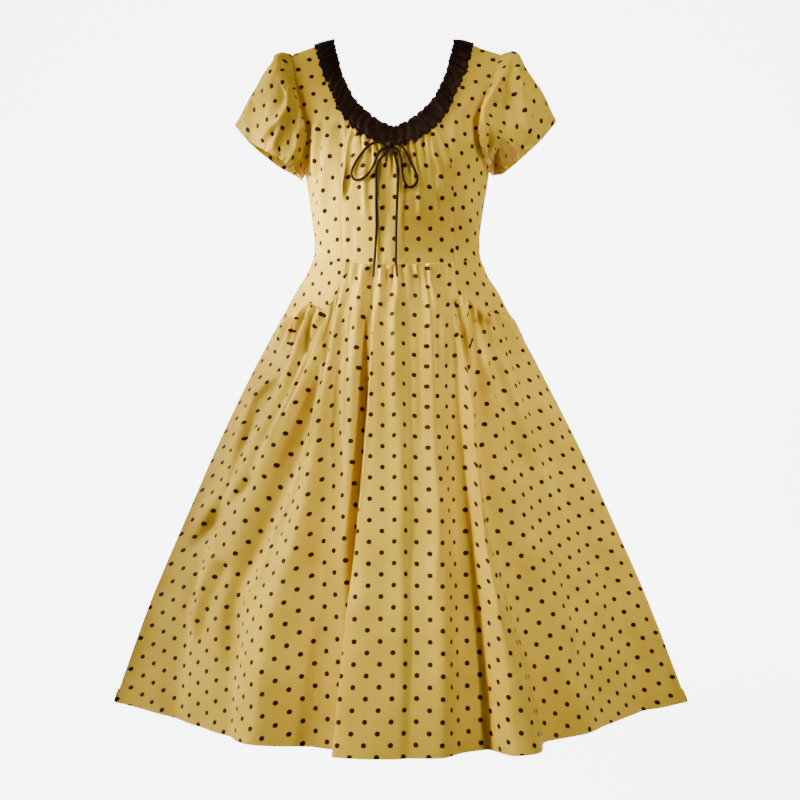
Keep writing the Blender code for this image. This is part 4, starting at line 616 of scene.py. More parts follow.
def princess_line(side):
    """Turn and down of the front seam from the waist to the neck seam."""
    end = read_line(neck_line(side, False, SEAM_PLACE), PRINCESS_AT_NECK)
    waist = 42.0 if side > 0 else -40.0
    bust = [0.5 * (30.0 * side + end[0]), 0.5 * (0.6 + end[1])]
    return measured([[waist, 1.0], [waist + 0.5 * side, 0.93], [38.0 * side, 0.81], [34.0 * side, 0.71],
                     bust, [end[0], end[1]]])


# Skirt form


def skirt_section(z):
    """Half width, front depth, back depth, pointedness and shift at height z."""
    return [np.interp(z, HEIGHTS, column) for column in SKIRT_FINE]


def waist_z(turn):
    """Height of the waist seam."""
    cs = np.cos(np.radians(turn))
    return WAIST_Z - WAIST_DIP * np.clip(cs, 0, 1) ** 2


def skirt_base(turn, z):
    """Points of the plain skirt form; its sections follow the dip of the waist seam and of the hem."""
    turn, z = np.broadcast_arrays(np.asarray(turn, float), np.asarray(z, float))
    seam = waist_z(turn)
    dip = (WAIST_Z - seam) * (1 - step((seam - z) / 0.12))
    half, front, back, power, shift = skirt_section(z + dip)
    sn = np.sin(np.radians(turn))
    cs = np.cos(np.radians(turn))
    size = np.maximum(np.abs(cs), 1e-9) ** power
    y = np.where(cs > 0, -front, back) * size
    low = np.clip((seam - z) / (seam - HEM_Z), 0, 1)
    return np.stack([half * sn + shift, y, z - HEM_DIP * low * np.clip(cs, 0, 1) ** 2], axis=-1)


def skirt_outward(turn, z):
    """Level outward direction of the plain skirt form."""
    along = skirt_base(turn + 0.4, z) - skirt_base(turn - 0.4, z)
    out = np.stack([along[..., 1], -along[..., 0], 0 * along[..., 0]], axis=-1)
    return unit(out)


def skirt_normal(turn, z):
    """Outward normal of the plain skirt form, level at the waist seam."""
    along = skirt_base(turn + 0.4, z) - skirt_base(turn - 0.4, z)
    down = skirt_base(turn, z - 0.004) - skirt_base(turn, z + 0.004)
    return unit(np.cross(down, along))


class Folds:
    """Long folds of half a skirt: columns share a number u from 0 to 1 along the cloth."""

    def __init__(self, table, back):
        self.back = back
        self.names = ["start"] + [row[0] for row in table] + ["end"]
        values = np.array([row[1:] for row in table])
        self.x = values[:, [0, 1, 3, 5, 7]]
        self.out = np.column_stack([0 * values[:, 0], values[:, [2, 4, 6, 8]]])
        self.first = 90.0 if back else -90.0
        turns = self.turns_at(MEASURE_Z)
        outs = self.outs_at(MEASURE_Z)
        place = skirt_base(turns, MEASURE_Z) + skirt_outward(turns, MEASURE_Z + 0 * turns) * outs[:, None]
        run = run_along(place)
        self.u = run / run[-1]
        self.fine = np.linspace(0.0, 1.0, 601)
        self.levels = np.linspace(WAIST_Z, HEM_Z, 81)
        self.turn = np.array([curve_at(self.u, self.turns_at(z), self.fine) for z in self.levels])
        self.stand = np.array([curve_at(self.u, self.outs_at(z), self.fine) for z in self.levels])

    def turns_at(self, z):
        """Turn of each fold line at one height."""
        half, _, _, _, shift = skirt_section(z)
        x = np.array([curve_at(FOLD_HEIGHTS, row, z) for row in self.x])
        turn = np.degrees(np.arcsin(np.clip((x - shift) / half, -0.999, 0.999)))
        if self.back:
            turn = 180.0 - turn
        return np.concatenate([[self.first], turn, [self.first + 180.0]])

    def outs_at(self, z):
        """How far each fold line stands out at one height."""
        out = [float(curve_at(FOLD_HEIGHTS, row, z)) for row in self.out]
        return np.array([0.0] + out + [0.0])

    def at(self, u, z):
        """Turn and stand-off for arrays of column and height."""
        u, z = np.broadcast_arrays(np.asarray(u, float), np.asarray(z, float))
        across = np.clip(u, 0, 1) * (len(self.fine) - 1)
        along = np.clip((z - WAIST_Z) / (HEM_Z - WAIST_Z), 0, 1) * (len(self.levels) - 1)
        i = np.clip(across.astype(int), 0, len(self.fine) - 2)
        k = np.clip(along.astype(int), 0, len(self.levels) - 2)
        s = across - i
        t = along - k
        out = []
        for grid in (self.turn, self.stand):
            upper = grid[k, i] * (1 - s) + grid[k, i + 1] * s
            lower = grid[k + 1, i] * (1 - s) + grid[k + 1, i + 1] * s
            out.append(upper * (1 - t) + lower * t)
        return out

    def at_waist(self, u):
        """Turn of each column at the waist."""
        return self.at(u, 0 * u + WAIST_Z)[0]


FRONT = Folds(FRONT_FOLDS, False)
BACK = Folds(BACK_FOLDS, True)


def yoke_edge():
    """Columns and heights of the top edge of the full-width front skirt."""
    us = []
    zs = []
    for table in (reversed(YOKE_EDGE_LEFT), YOKE_EDGE_RIGHT):
        for x, z in table:
            half, _, _, _, shift = skirt_section(z)
            x = max(min(x, half * 0.9999), -half * 0.9999)
            us.append(last_place(
                lambda u: half * math.sin(math.radians(float(FRONT.at(u, z)[0]))) + shift < x, 40))
            zs.append(z)
    us[0] = 0.0
    us[-1] = 1.0
    corner = len(YOKE_EDGE_LEFT) - 1
    us[corner] = FRONT.u[FRONT.names.index(YOKE_LINE_LEFT)]
    us[corner + 1] = FRONT.u[FRONT.names.index(YOKE_LINE_RIGHT)]
    return np.array(us), np.array(zs)


EDGE_MARKS, EDGE_HEIGHTS = yoke_edge()
CORNER_LEFT = EDGE_MARKS[len(YOKE_EDGE_LEFT) - 1]
CORNER_RIGHT = EDGE_MARKS[len(YOKE_EDGE_LEFT)]
YOKE_U = [EDGE_MARKS[0]]
for before, after in zip(EDGE_MARKS, EDGE_MARKS[1:]):
    YOKE_U += [0.5 * (before + after), after]
YOKE_U = np.array(YOKE_U)
YOKE_Z = curve_at(EDGE_MARKS, EDGE_HEIGHTS, YOKE_U)


def joined(first, second, middle=0.5):
    """One edge out of two that follow each other."""
    def edge(v):
        if v <= middle:
            return read_line(first, v / middle)
        return read_line(second, (v - middle) / (1 - middle))
    return edge


def straight(a, b):
    """Edge that runs evenly between two turn and down pairs."""
    a = np.array(a, float)
    b = np.array(b, float)
    return lambda u: a + (b - a) * u


def reverse(line):
    """The same line from its other end."""
    points, run = line
    return points[::-1], 1 - run[::-1]


def segment(a, b):
    """Straight line in turn and down as a readable line."""
    return np.array([a, b], float), np.array([0.0, 1.0])


def back_edges(side):
    """The four edges of a back panel."""
    seam = neck_line(side, True, SEAM_PLACE)
    seam[0][0][0] = 180.0
    inner = joined(segment([180.0, 1.0], seam[0][0]), seam)
    edge = 90.0 if side > 0 else 270.0
    outer = joined(segment([edge, 1], [edge, underarm(side)]), armhole_line(side, True))
    first, last = (outer, inner) if side > 0 else (inner, outer)
    return straight(first(0.0), last(0.0)), straight(first(1.0), last(1.0)), first, last


def neck_lines():
    """Inner and outer edge of the trim for each quarter of the neck."""
    quarters = [(side, back) for back in (False, True) for side in (-1, 1)]
    return {quarter: [neck_line(*quarter, across) for across in (0.0, 1.0)] for quarter in quarters}


NECK_LINES = neck_lines()


def front_y(x, z):
    """Y of the bodice or skirt front at x and z."""
    turn = math.degrees(math.asin(x / TORSO[-1][4]))
    if z > waist_z(turn):
        turn, down = locate(x, z)
        return float(torso(turn, down)[1])
    half = float(skirt_section(z)[0])
    return float(skirt_base(math.degrees(math.asin(x / half)), z)[1])


def smooth_route(table, count):
    """Points evenly along a smooth curve through a table of X, height, distance in front."""
    knots = np.array([(x, front_y(x, z) - off, z) for x, z, off in table])
    padded = np.concatenate([[2 * knots[0] - knots[1]], knots, [2 * knots[-1] - knots[-2]]])
    dense = []
    for k in range(len(knots) - 1):
        p0, p1, p2, p3 = padded[k:k + 4]
        for t in np.linspace(0, 1, 24, endpoint=False):
            a = 2 * p1 + (p2 - p0) * t + (2 * p0 - 5 * p1 + 4 * p2 - p3) * t * t
            dense.append(0.5 * (a + (3 * p1 - p0 - 3 * p2 + p3) * t ** 3))
    dense = np.array(dense + [knots[-1]])
    run = run_along(dense)
    return at_run(np.linspace(0, run[-1], count), run, dense)


BACK_ROWS = (0.50, 0.40, 0.28, 0.14, 0.0)    # shares up the back panels, from the neck down to the waist
BESIDE_SEAM = 1 / 11     # share across a back panel from the seam to the place beside it
TAPE_SKIRT_SHARES = (0.018, 0.048, 0.10, 0.17)    # shares down the skirt, as far as the tape reaches


def back_seam_rows():
    """Rows down the centre-back seam: the places beside and on it, with their normals."""
    rows = []
    sides = {side: back_edges(side) for side in (1, -1)}
    for v in BACK_ROWS:
        places = ((1, 1 - BESIDE_SEAM), (1, 1.0), (-1, BESIDE_SEAM))
        spots = np.array([patch([u], [v], *sides[side])[0, 0] for side, u in places])
        normals = torso_normal(spots[:, 0], spots[:, 1])
        if v == 0.0:
            normals[:, 2] = 0
            normals = unit(normals)
        rows.append((torso(spots[:, 0], spots[:, 1]), normals))
    half = np.array([TAPE_HALF, 0.0, -TAPE_HALF])
    for share in TAPE_SKIRT_SHARES:
        z = WAIST_Z + (HEM_Z - WAIST_Z) * share
        turn = 180.0 - np.degrees(np.arcsin(half / skirt_section(z)[0]))
        points = skirt_base(turn, z + 0 * turn)
        normals = skirt_normal(turn, z + 0 * turn)
        rows.append((points - normals * SEAM_GAP, normals))
    return rows


# Fine cloth: the same forms with their gathers, creases and puckers, as thin shells


def waves(x, y, wide, tall, seed, count=9):
    """Uneven soft ripples about wide by tall metres, between -1 and 1 for the most part."""
    dice = np.random.RandomState(seed)
    total = np.zeros(np.broadcast(x, y).shape)
    for _ in range(count):
        fx = dice.uniform(-1.3, 1.3)
        fy = dice.uniform(-1.0, 1.0)
        total = total + np.sin(2 * math.pi * (fx * x / wide + fy * y / tall) + dice.uniform(0, 6.28))
    return total / math.sqrt(count)


def crest(x):
    """A gather's section: a narrow rounded crest with hollow flanks."""
    x = np.clip(np.abs(x), 0, 1)
    return (1 - x) ** 2 * (1 + 2 * x) * (1 - 0.35 * x)


def fine_gathers(table, x, fall, seed, boost=1.5, crowd=0.0050, height=0.0018, reach=0.040):
    """The tabled gathers with a narrow hollow between neighbours, and a crowd of small uneven puckers."""
    total = 0.0 * x
    rise = 0.30 + 0.70 * step(fall / 0.012)
    for centre, half, tall, length in table:
        drift = centre + 0.06 * fall * np.sin(40 * centre)
        fade = 1 - step(fall / (1.35 * length))
        widen = half * (1 + 1.3 * fall / length)
        total = total + boost * tall * rise * fade * crest((x - drift) / (widen * 0.95))
    ordered = sorted(table)
    for near, far in zip(ordered[:-1], ordered[1:]):
        if far[0] - near[0] < 0.03:
            length = 0.9 * min(near[3], far[3])
            half = 0.30 * (far[0] - near[0]) * (1 + 0.8 * fall / length)
            fade = 1 - step(fall / (1.2 * length))
            centre = 0.5 * (near[0] + far[0]) + 0.02 * fall
            depth = 1.2 * min(near[2], far[2])
            total = total - depth * rise * fade * crest((x - centre) / half)
    dice = np.random.RandomState(seed)
    spot = float(np.min(x))
    right = float(np.max(x))
    while spot < right:
        spot += crowd * dice.uniform(0.55, 1.5)
        tall = height * dice.uniform(0.35, 1.25)
        length = reach * dice.uniform(0.35, 1.5)
        half = crowd * dice.uniform(0.40, 0.75)
        lean = dice.uniform(-0.10, 0.10)
        fade = 1 - step(fall / length)
        total = total + tall * fade * crest((x - spot - lean * fall) / (half * (1 + fall / length)))
    return total


def creases(table, x, y):
    """Creases listed in a table: x, y at each end, half width, height (minus: a hollow)."""
    total = 0.0 * x
    for x0, y0, x1, y1, half, tall in table:
        run = np.array([x1 - x0, y1 - y0])
        size = float(np.hypot(*run))
        along = ((x - x0) * run[0] + (y - y0) * run[1]) / size ** 2
        bow = 0.05 * size * np.sin(np.clip(along, 0, 1) * math.pi)
        away = ((x - x0) * run[1] - (y - y0) * run[0]) / size - bow
        taper = step(along / 0.25) * step((1 - along) / 0.45)
        total = total + tall * taper * np.exp(-(away / half) ** 2)
    return total


def ridges(table, x, z):
    """Long bent ridges and hollows listed in a table, each with one flank steeper than the other."""
    total = 0.0 * x
    for half0, half1, tall, lean, line in table:
        spots = np.array(line)
        high, low = spots[0, 1], spots[-1, 1]
        share = (high - z) / (high - low)
        centre, below, above = (curve_at(spots[:, 1], spots[:, 0], z + off) for off in (0.0, -0.01, 0.01))
        slant = (below - above) / 0.02
        away = (x - centre) / np.sqrt(1 + slant ** 2)
        half = half0 + (half1 - half0) * np.clip(share, 0, 1)
        half = half * np.where(away > 0, 1 - lean, 1 + lean)
        taper = step(share / 0.10) * step((1 - share) / 0.30)
        total = total + tall * taper * np.exp(-(away / half) ** 2)
    return total


def grid_normals(p):
    """Outward normals of a grid whose rows run down and columns run towards +X on the front."""
    return unit(np.cross(np.gradient(p, axis=0), np.gradient(p, axis=1)))


def level(n):
    """Normals turned level, for two pieces that meet at a level seam."""
    return unit(n * (1, 1, 0))


def turned_in(p, n, uv, axis, end, tuck):
    """The grid with one more line, turned in behind one of its edges."""
    first, second = [slice(None)] * 2, [slice(None)] * 2
    first[axis], second[axis] = (slice(0, 1), slice(1, 2)) if end == 0 else (slice(-1, None), slice(-2, -1))
    first, second = tuple(first), tuple(second)
    into = unit(p[second] - p[first])
    p[first] += into * EDGE_INSET
    inner = p[first] - n[first] * tuck + into * 0.0003
    pairs = ((inner, p), (n[first], n), (uv[first] * 2 - uv[second], uv))
    return [np.concatenate(pair if end == 0 else pair[::-1], axis=axis) for pair in pairs]


SIDES = {"start": (1, 0), "end": (1, 1), "top": (0, 0), "bottom": (0, 1)}     # axis and end of the grid


def shell(name, p, uv, sides=(), materials=None, wall=SHELL_WALL, keep=None, normals=None,
          tuck=SEAM_TUCK):
    """A grid of points as a thin cloth shell. Sides named in sides turn in at their seam."""
    n = grid_normals(p) if normals is None else normals
    p = p.copy()
    for side, place in SIDES.items():
        if side in sides:
            p, n, uv = turned_in(p, n, uv, *place, tuck)
    rows, cols = p.shape[:2]
    r, c = np.meshgrid(np.arange(rows - 1), np.arange(cols - 1), indexing="ij")
    corners = ((r, c), (r + 1, c), (r + 1, c + 1), (r, c + 1))
    mask = np.ones(r.shape, bool) if keep is None else keep(r, c)
    faces = np.stack([row * cols + column for row, column in corners], axis=-1)[mask]
    corner_uv = np.stack([uv[corner] for corner in corners], axis=-2)[mask]
    used = np.unique(faces)
    index = np.full(rows * cols, -1)
    index[used] = np.arange(len(used))
    mesh = bpy.data.meshes.new(name)
    mesh.from_pydata(p.reshape(-1, 3)[used].tolist(), [], index[faces].tolist())
    layer = mesh.uv_layers.new(name="Cloth")
    layer.data.foreach_set("uv", corner_uv.reshape(-1).astype(np.float32))
    mesh.shade_smooth()
    mesh.set_sharp_from_angle(angle=math.radians(70))
    mesh.update()
    obj = add_object(name, mesh)
    for material in materials or (CLOTH_OUT, CLOTH_IN):
        mesh.materials.append(material)
    thick = obj.modifiers.new("wall", "SOLIDIFY")
    thick.thickness = wall
    thick.offset = 0.0
    if len(mesh.materials) > 1:
        thick.material_offset = 1
        thick.material_offset_rim = 0
    return obj


def length_along(p, axis):
    """Running length of a grid along an axis, from its start."""
    size = np.linalg.norm(np.diff(p, axis=axis), axis=-1)
    pad = [(0, 0), (0, 0)]
    pad[axis] = (1, 0)
    return np.pad(np.cumsum(size, axis=axis), pad)


def stitches(name, points, normals, material):
    """A row of short stitches along a line of points on the cloth."""
    run = run_along(points)
    verts = []
    faces = []
    for k in range(int(run[-1] / STITCH_PITCH)):
        a = k * STITCH_PITCH + 0.2 * STITCH_PITCH
        ends = [at_run(s, run, points) for s in (a, a + STITCH_LENGTH)]
        n = unit(at_run(a + STITCH_LENGTH / 2, run, normals))
        along = unit(ends[1] - ends[0])
        side = np.cross(n, along) * STITCH_WIDTH / 2
        mid = 0.5 * (ends[0] + ends[1]) + n * STITCH_HEIGHT
        b = len(verts)
        for end in ends:
            verts += [end - side - n * 0.0002, end + side - n * 0.0002]
        for shift in (-0.25, 0.25):
            verts += [mid - side + along * STITCH_LENGTH * shift, mid + side + along * STITCH_LENGTH * shift]
        faces += [(b, b + 1, b + 5, b + 4), (b + 4, b + 5, b + 7, b + 6), (b + 6, b + 7, b + 3, b + 2)]
        faces += [(b, b + 4, b + 6, b + 2), (b + 1, b + 3, b + 7, b + 5), (b, b + 2, b + 3, b + 1)]
    mesh = bpy.data.meshes.new(name)
    mesh.from_pydata([tuple(v) for v in verts], [], faces)
    mesh.shade_smooth()
    return add_object(name, mesh, material)


# Materials


class Nodes:
    """Short calls for a material's nodes. A value is a number, colour, vector or another node's output."""

    def __init__(self, name, **inputs):
        self.material = bpy.data.materials.new(name)
        self.material.use_nodes = True
        self.tree = self.material.node_tree
        self.shader = self.tree.nodes["Principled BSDF"]
        self.place = self.add("ShaderNodeUVMap", {}, "UV", uv_map="Cloth")
        self.surface(**inputs)

    def put(self, socket, value):
        """Links or sets one input."""
        if isinstance(value, bpy.types.NodeSocket):
            self.tree.links.new(value, socket)
        else:
            socket.default_value = (*value, 1) if socket.type == "RGBA" else value

    def surface(self, **inputs):
        """Inputs of the surface, with _ for a blank in their names."""
        for key, value in inputs.items():
            self.put(self.shader.inputs[key.replace("_", " ")], value)
        return self.material

    def add(self, kind, inputs, output=0, **settings):
        """A node with its inputs; gives one output."""
        node = self.tree.nodes.new(kind)
        for key, value in settings.items():
            setattr(node, key, value)
        for key, value in inputs.items():
            self.put(node.inputs[key], value)
        return node.outputs[output]

    def vector(self, operation, *values):
        output = "Value" if operation == "LENGTH" else "Vector"
        return self.add("ShaderNodeVectorMath", dict(enumerate(values)), output, operation=operation)

    def math(self, operation, *values):
        return self.add("ShaderNodeMath", dict(enumerate(values)), operation=operation)

    def noise(self, scale, detail=3.0, rough=0.5):
        inputs = {"Scale": scale, "Detail": detail, "Roughness": rough, "Vector": self.place}
        return self.add("ShaderNodeTexNoise", inputs, "Fac")

    def ramp(self, value, low, high, to_low=0.0, to_high=1.0):
        inputs = {"Value": value, "From Min": low, "From Max": high, "To Min": to_low, "To Max": to_high}
        return self.add("ShaderNodeMapRange", inputs, "Result", interpolation_type="SMOOTHSTEP")

    def mix(self, factor, a, b):
        return self.add("ShaderNodeMix", {0: factor, 6: a, 7: b}, 2, data_type="RGBA")

    def bump(self, height, strength, distance, **after):
        inputs = {"Strength": strength, "Distance": distance, "Height": height, **after}
        return self.add("ShaderNodeBump", inputs, "Normal")


DOT_COLUMN = 0.0180      # between two columns of dots
DOT_PITCH = 0.0315       # between two dots of a column
DOT_RADIUS = 0.00365


def weave(m, pitch):
    """Height of a plain weave of that pitch."""
    split = m.add("ShaderNodeSeparateXYZ", {0: m.place}).node
    waves_at = [m.math("SINE", m.math("MULTIPLY", split.outputs[k], 2 * math.pi / pitch)) for k in (0, 1)]
    return m.math("MULTIPLY", *waves_at)


def cloth_material(name, base, light, dark, dot, strength):
    """Printed cotton: a half-drop of small dots over a slightly uneven dye."""
    m = Nodes(name, Specular_IOR_Level=0.08, Specular_Tint=(0.90, 0.50, 0.22))
    wobble = m.noise(900.0, 2.0)
    near = []
    for shift in ((0.0, 0.0, 0.0), (DOT_COLUMN, DOT_PITCH / 2, 0.0)):
        corner = (DOT_COLUMN, DOT_PITCH / 2, 1.0)
        wrapped = m.vector("WRAP", m.vector("ADD", m.place, shift), corner, tuple(-c for c in corner))
        near.append(m.vector("LENGTH", m.vector("MULTIPLY", wrapped, (1.0, 1.0, 0.0))))
    away = m.math("MINIMUM", *near)
    away = m.math("ADD", away, m.math("MULTIPLY", m.math("SUBTRACT", wobble, 0.5), 0.0007))
    inside = m.ramp(away, DOT_RADIUS - 0.0003, DOT_RADIUS + 0.0003, 1.0, 0.0)
    ground = m.mix(m.ramp(m.noise(14.0, 4.0, 0.55), 0.30, 0.70), dark, light)
    thread = m.ramp(m.noise(1500.0, 2.0, 0.6), 0.35, 0.75)
    ground = m.mix(m.math("MULTIPLY", thread, 0.35), ground, base)
    first = m.bump(m.noise(75.0, 3.0, 0.5), 0.10, 0.0010)
    return m.surface(Base_Color=m.mix(m.math("MULTIPLY", inside, strength), ground, dot),
                     Roughness=m.ramp(m.noise(60.0, 3.0), 0.3, 0.7, 0.52, 0.66),
                     Normal=m.bump(weave(m, 0.0011), 0.20, 0.00008, Normal=first))


def dark_nodes(name, rough, specular):
    """Ribbon or cord with a little sheen."""
    return Nodes(name, Roughness=rough, Specular_IOR_Level=specular, Specular_Tint=(0.80, 0.42, 0.22),
                 Sheen_Weight=0.03, Sheen_Roughness=0.45, Sheen_Tint=(0.62, 0.45, 0.36))


def ribbon_material(name, dark, light, rough, pitch):
    """Ribbon, thread or tape with a fine rib."""
    m = dark_nodes(name, rough, 0.22)
    first = m.bump(m.noise(240.0, 3.0), 0.25, 0.0006)
    return m.surface(Base_Color=m.mix(m.ramp(m.noise(160.0, 3.0), 0.3, 0.75), dark, light),
                     Normal=m.bump(weave(m, pitch), 0.5, 0.00012, Normal=first))


def cord_material(name, dark, light):
    """Braided cord, read in the object's own space."""
    m = dark_nodes(name, 0.50, 0.20)
    m.place = m.add("ShaderNodeTexCoord", {}, "Object")
    return m.surface(Base_Color=m.mix(m.ramp(m.noise(300.0, 3.0), 0.3, 0.75), dark, light),
                     Normal=m.bump(m.noise(1200.0, 2.0), 0.35, 0.0003))


def metal_material(name, colour, rough):
    """Painted metal, slightly worn and uneven."""
    m = Nodes(name, Roughness=rough, Metallic=0.85)
    m.place = m.add("ShaderNodeTexCoord", {}, "Object")
    worn = tuple(0.8 * c for c in colour)
    return m.surface(Base_Color=m.mix(m.ramp(m.noise(900.0, 3.0), 0.35, 0.7), worn, colour),
                     Normal=m.bump(m.noise(2500.0, 2.0), 0.15, 0.0001))


CLOTH_OUT = cloth_material("cotton_print", (0.665, 0.428, 0.038), (0.725, 0.470, 0.046),
                           (0.605, 0.384, 0.032), (0.022, 0.007, 0.003), 1.0)
CLOTH_IN = cloth_material("cotton_reverse", (0.62, 0.40, 0.075), (0.66, 0.43, 0.085),
                          (0.58, 0.37, 0.065), (0.12, 0.06, 0.03), 0.75)
RIBBON = ribbon_material("ribbon", (0.0024, 0.0009, 0.0005), (0.0070, 0.0027, 0.0014), 0.36, 0.0016)
THREAD = ribbon_material("thread", (0.50, 0.32, 0.10), (0.62, 0.42, 0.15), 0.55, 0.0005)
TAPE = ribbon_material("tape", (0.48, 0.31, 0.10), (0.60, 0.40, 0.14), 0.60, 0.0010)
CORD_ROUND = cord_material("cord_round", (0.008, 0.0026, 0.0012), (0.024, 0.009, 0.0045))
METAL = metal_material("zip_metal", (0.62, 0.45, 0.20), 0.32)


def worn(obj, node, replaces=True):
    """A piece rides the dress, mostly in its node's place; when it replaces its node, that node's part is
    hidden.
    """
    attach(obj, "dress")
    if replaces:
        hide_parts(node)


def sewn(obj, node):
    """Attaches a finished piece of cloth to the dress and hides its node's part; its map holds the flat cut
    in metres.
    """
    mesh = obj.data
    flat = np.zeros(len(mesh.loops) * 2)
    mesh.uv_layers["Cloth"].data.foreach_get("uv", flat)
    flat = flat.reshape(-1, 4, 2)
    worn(obj, node)


# Camera and light


CAMERA_PLACE = (0.0047, -2.65, -0.5558)
SENSOR = 36.0
LENS = 76.81
FLOOR_Z = -1.32
WALL_Y = 4.6             # the backdrop's wall, 1.4 m past the start of its curve
WALL_TOP = 2.2
BEND = 1.4
BACKDROP_HALF = 1.75
BACKDROP_GLOW = 5.8      # the floor and wall shine by themselves, as a lit sweep does
SKY = (1.0, 0.98, 0.95)
SKY_STRENGTH = 0.04
# name, place, aim, width, height, beam in degrees, power, colour
LIGHTS = [
    ("left rim", (-3.30, 0.60, 0.55), (-0.15, -0.10, -0.55), 0.7, 0.9, 180.0, 175.0, (1.0, 0.985, 0.93)),
    ("left bodice", (-2.20, -0.60, -0.10), (-0.05, -0.05, -0.30), 0.25, 0.20, 10.0, 0.85, (1.0, 0.985, 0.93)),
    ("key", (-2.90, -1.85, 0.75), (0.36, -0.20, -0.55), 0.3, 1.3, 16.0, 4.5, (1.0, 0.985, 0.93)),
    ("front", (0.70, -3.70, 0.50), (0.0, 0.0, -0.5), 1.2, 1.2, 180.0, 13.0, (1.0, 0.985, 0.94)),
    ("right side", (2.30, -2.00, 1.70), (0.30, -0.10, -0.52), 0.3, 0.9, 23.0, 3.6, (1.0, 0.985, 0.94)),
]


def setting():
    """Pale floor and backdrop, soft light from the viewer's upper left, the photo's camera."""
    scene = bpy.context.scene
    camera = add_object("camera", bpy.data.cameras.new("camera"))
    camera.data.sensor_width = SENSOR
    camera.data.lens = LENS
    camera.location = CAMERA_PLACE
    camera.rotation_euler = (math.pi / 2, 0.0, 0.0)
    scene.camera = camera
    mesh = bpy.data.meshes.new("backdrop")
    profile = [(0.2, FLOOR_Z), (WALL_Y - BEND, FLOOR_Z)]
    for a in np.linspace(0, math.pi / 2, 13)[1:]:
        profile.append((WALL_Y - BEND + BEND * math.sin(a), FLOOR_Z + BEND * (1 - math.cos(a))))
    profile.append((WALL_Y, WALL_TOP))
    verts = [(x, y, z) for y, z in profile for x in (-BACKDROP_HALF, BACKDROP_HALF)]
    faces = [(2 * k, 2 * k + 1, 2 * k + 3, 2 * k + 2) for k in range(len(profile) - 1)]
    mesh.from_pydata(verts, [], faces)
    mesh.shade_smooth()
    paper = Nodes("backdrop", Base_Color=(0.93, 0.93, 0.93), Roughness=0.9, Specular_IOR_Level=0.1,
                  Emission_Color=(1, 1, 1), Emission_Strength=BACKDROP_GLOW)
    add_object("backdrop", mesh, paper.material)
    scene.world = bpy.data.worlds.new("studio")
    scene.world.use_nodes = True
    background = scene.world.node_tree.nodes["Background"]
    background.inputs["Color"].default_value = (*SKY, 1)
    background.inputs["Strength"].default_value = SKY_STRENGTH
    for name, place, aim, wide, high, beam, power, colour in LIGHTS:
        data = bpy.data.lights.new(name, "AREA")
        data.shape = "RECTANGLE"
        data.size = wide
        data.size_y = high
        data.spread = math.radians(beam)
        data.energy = power
        data.color = colour
        light = add_object(name, data)
        light.location = place
        light.rotation_euler = (Vector(aim) - Vector(place)).to_track_quat("-Z", "Y").to_euler()


# Skirt


HEM_RADIUS = 1.19
FOLD_GROWTH = 0.060      # the long folds grow over this height below their seam
SIDE_CALM = 0.020        # share of the columns over which folds fade to the side seams
SIDE_EASE = 0.10         # how much less cloth the map gives to the outer parts of each half


def sector_uv(u, p, middle, offset):
    """Flat place of a skirt's grid on its circular cut, hem outermost, grain upright at column middle."""
    run = length_along(p, 0)
    radius = HEM_RADIUS - (run[-1:] - run)
    across = length_along(p, 1)
    rows = np.arange(len(p))
    blur = np.exp(-((rows[:, None] - rows[None]) / 7.0) ** 2)
    across = blur @ across / blur.sum(axis=1, keepdims=True)
    here = np.array([np.interp(middle, u[0], row) for row in across])[:, None]
    reach = across - here
    share = reach / np.abs(reach).max(axis=1, keepdims=True)
    low = np.clip((p[..., 2] + 0.40) / -0.25, 0, 1)
    angle = reach / radius * (1 - SIDE_EASE * low * share ** 2)
    return np.stack([radius * np.sin(angle) + offset[0], -radius * np.cos(angle) + offset[1]], axis=-1)


def apart(p, base, sign):
    """Keeps front and back cloth on their own sides of the side seams; sign is -1 in front, 1 behind."""
    wide = np.abs(base[..., 0])
    room = wide.max(axis=1, keepdims=True) - wide
    forward = 0.0032 * np.clip(room / 0.005, 0, 1) * (1 - step(room / 0.09))
    forward = forward * step(length_along(base, 0) / 0.06)
    p = p.copy()
    p[..., 1] = sign * np.maximum(sign * p[..., 1] + forward, 0.0005 + 0.50 * np.clip(room, 0, 0.004))
    return p


def mixed_columns(folds, count, z_top, share):
    """Column numbers spaced partly by the cloth at the waist and partly by the hem."""
    u = np.linspace(0, 1, 1201)
    spread_at = []
    for z in (z_top, MEASURE_Z):
        turn, out = folds.at(u, z + 0 * u)
        run = run_along(skirt_base(turn, z) + skirt_outward(turn, z + 0 * u) * out[:, None])
        spread_at.append(run / run[-1])
    mixed = share * spread_at[0] + (1 - share) * spread_at[1]
    return np.interp(np.linspace(0, 1, count), mixed, u)


def with_hem(p, uv, n, turn_up, gap, rows):
    """Adds the turned-up hem inside the lower edge."""
    run = length_along(p, 0)
    parts, maps, norms = [p], [uv], [n]
    beyond = (uv[-1] - uv[-2]) / np.linalg.norm(uv[-1] - uv[-2], axis=-1, keepdims=True)
    for k in range(rows):
        back = turn_up * (k + 0.12) / (rows - 0.88)
        place, normal = (np.array([at_run(run[-1, c] - back, run[:, c], grid[:, c])
                                   for c in range(p.shape[1])]) for grid in (p, n))
        parts.append((place - unit(normal) * np.reshape(gap, (-1, 1)))[None])
        norms.append(-unit(normal)[None])
        maps.append((uv[-1] + beyond * back)[None])
    return np.concatenate(parts), np.concatenate(maps), np.concatenate(norms)


def skirt_softness(x, z, seed, second_seed):
    """Low waves: long ones along the skirt's lean and shorter ones."""
    lean = x / np.maximum(0.35 - 0.9 * z, 0.1)
    long_waves = 0.0011 * waves(lean * 1.2, z, wide=0.085, tall=0.75, seed=seed)
    return long_waves + 0.0007 * waves(x, z, wide=0.06, tall=0.11, seed=second_seed, count=12)


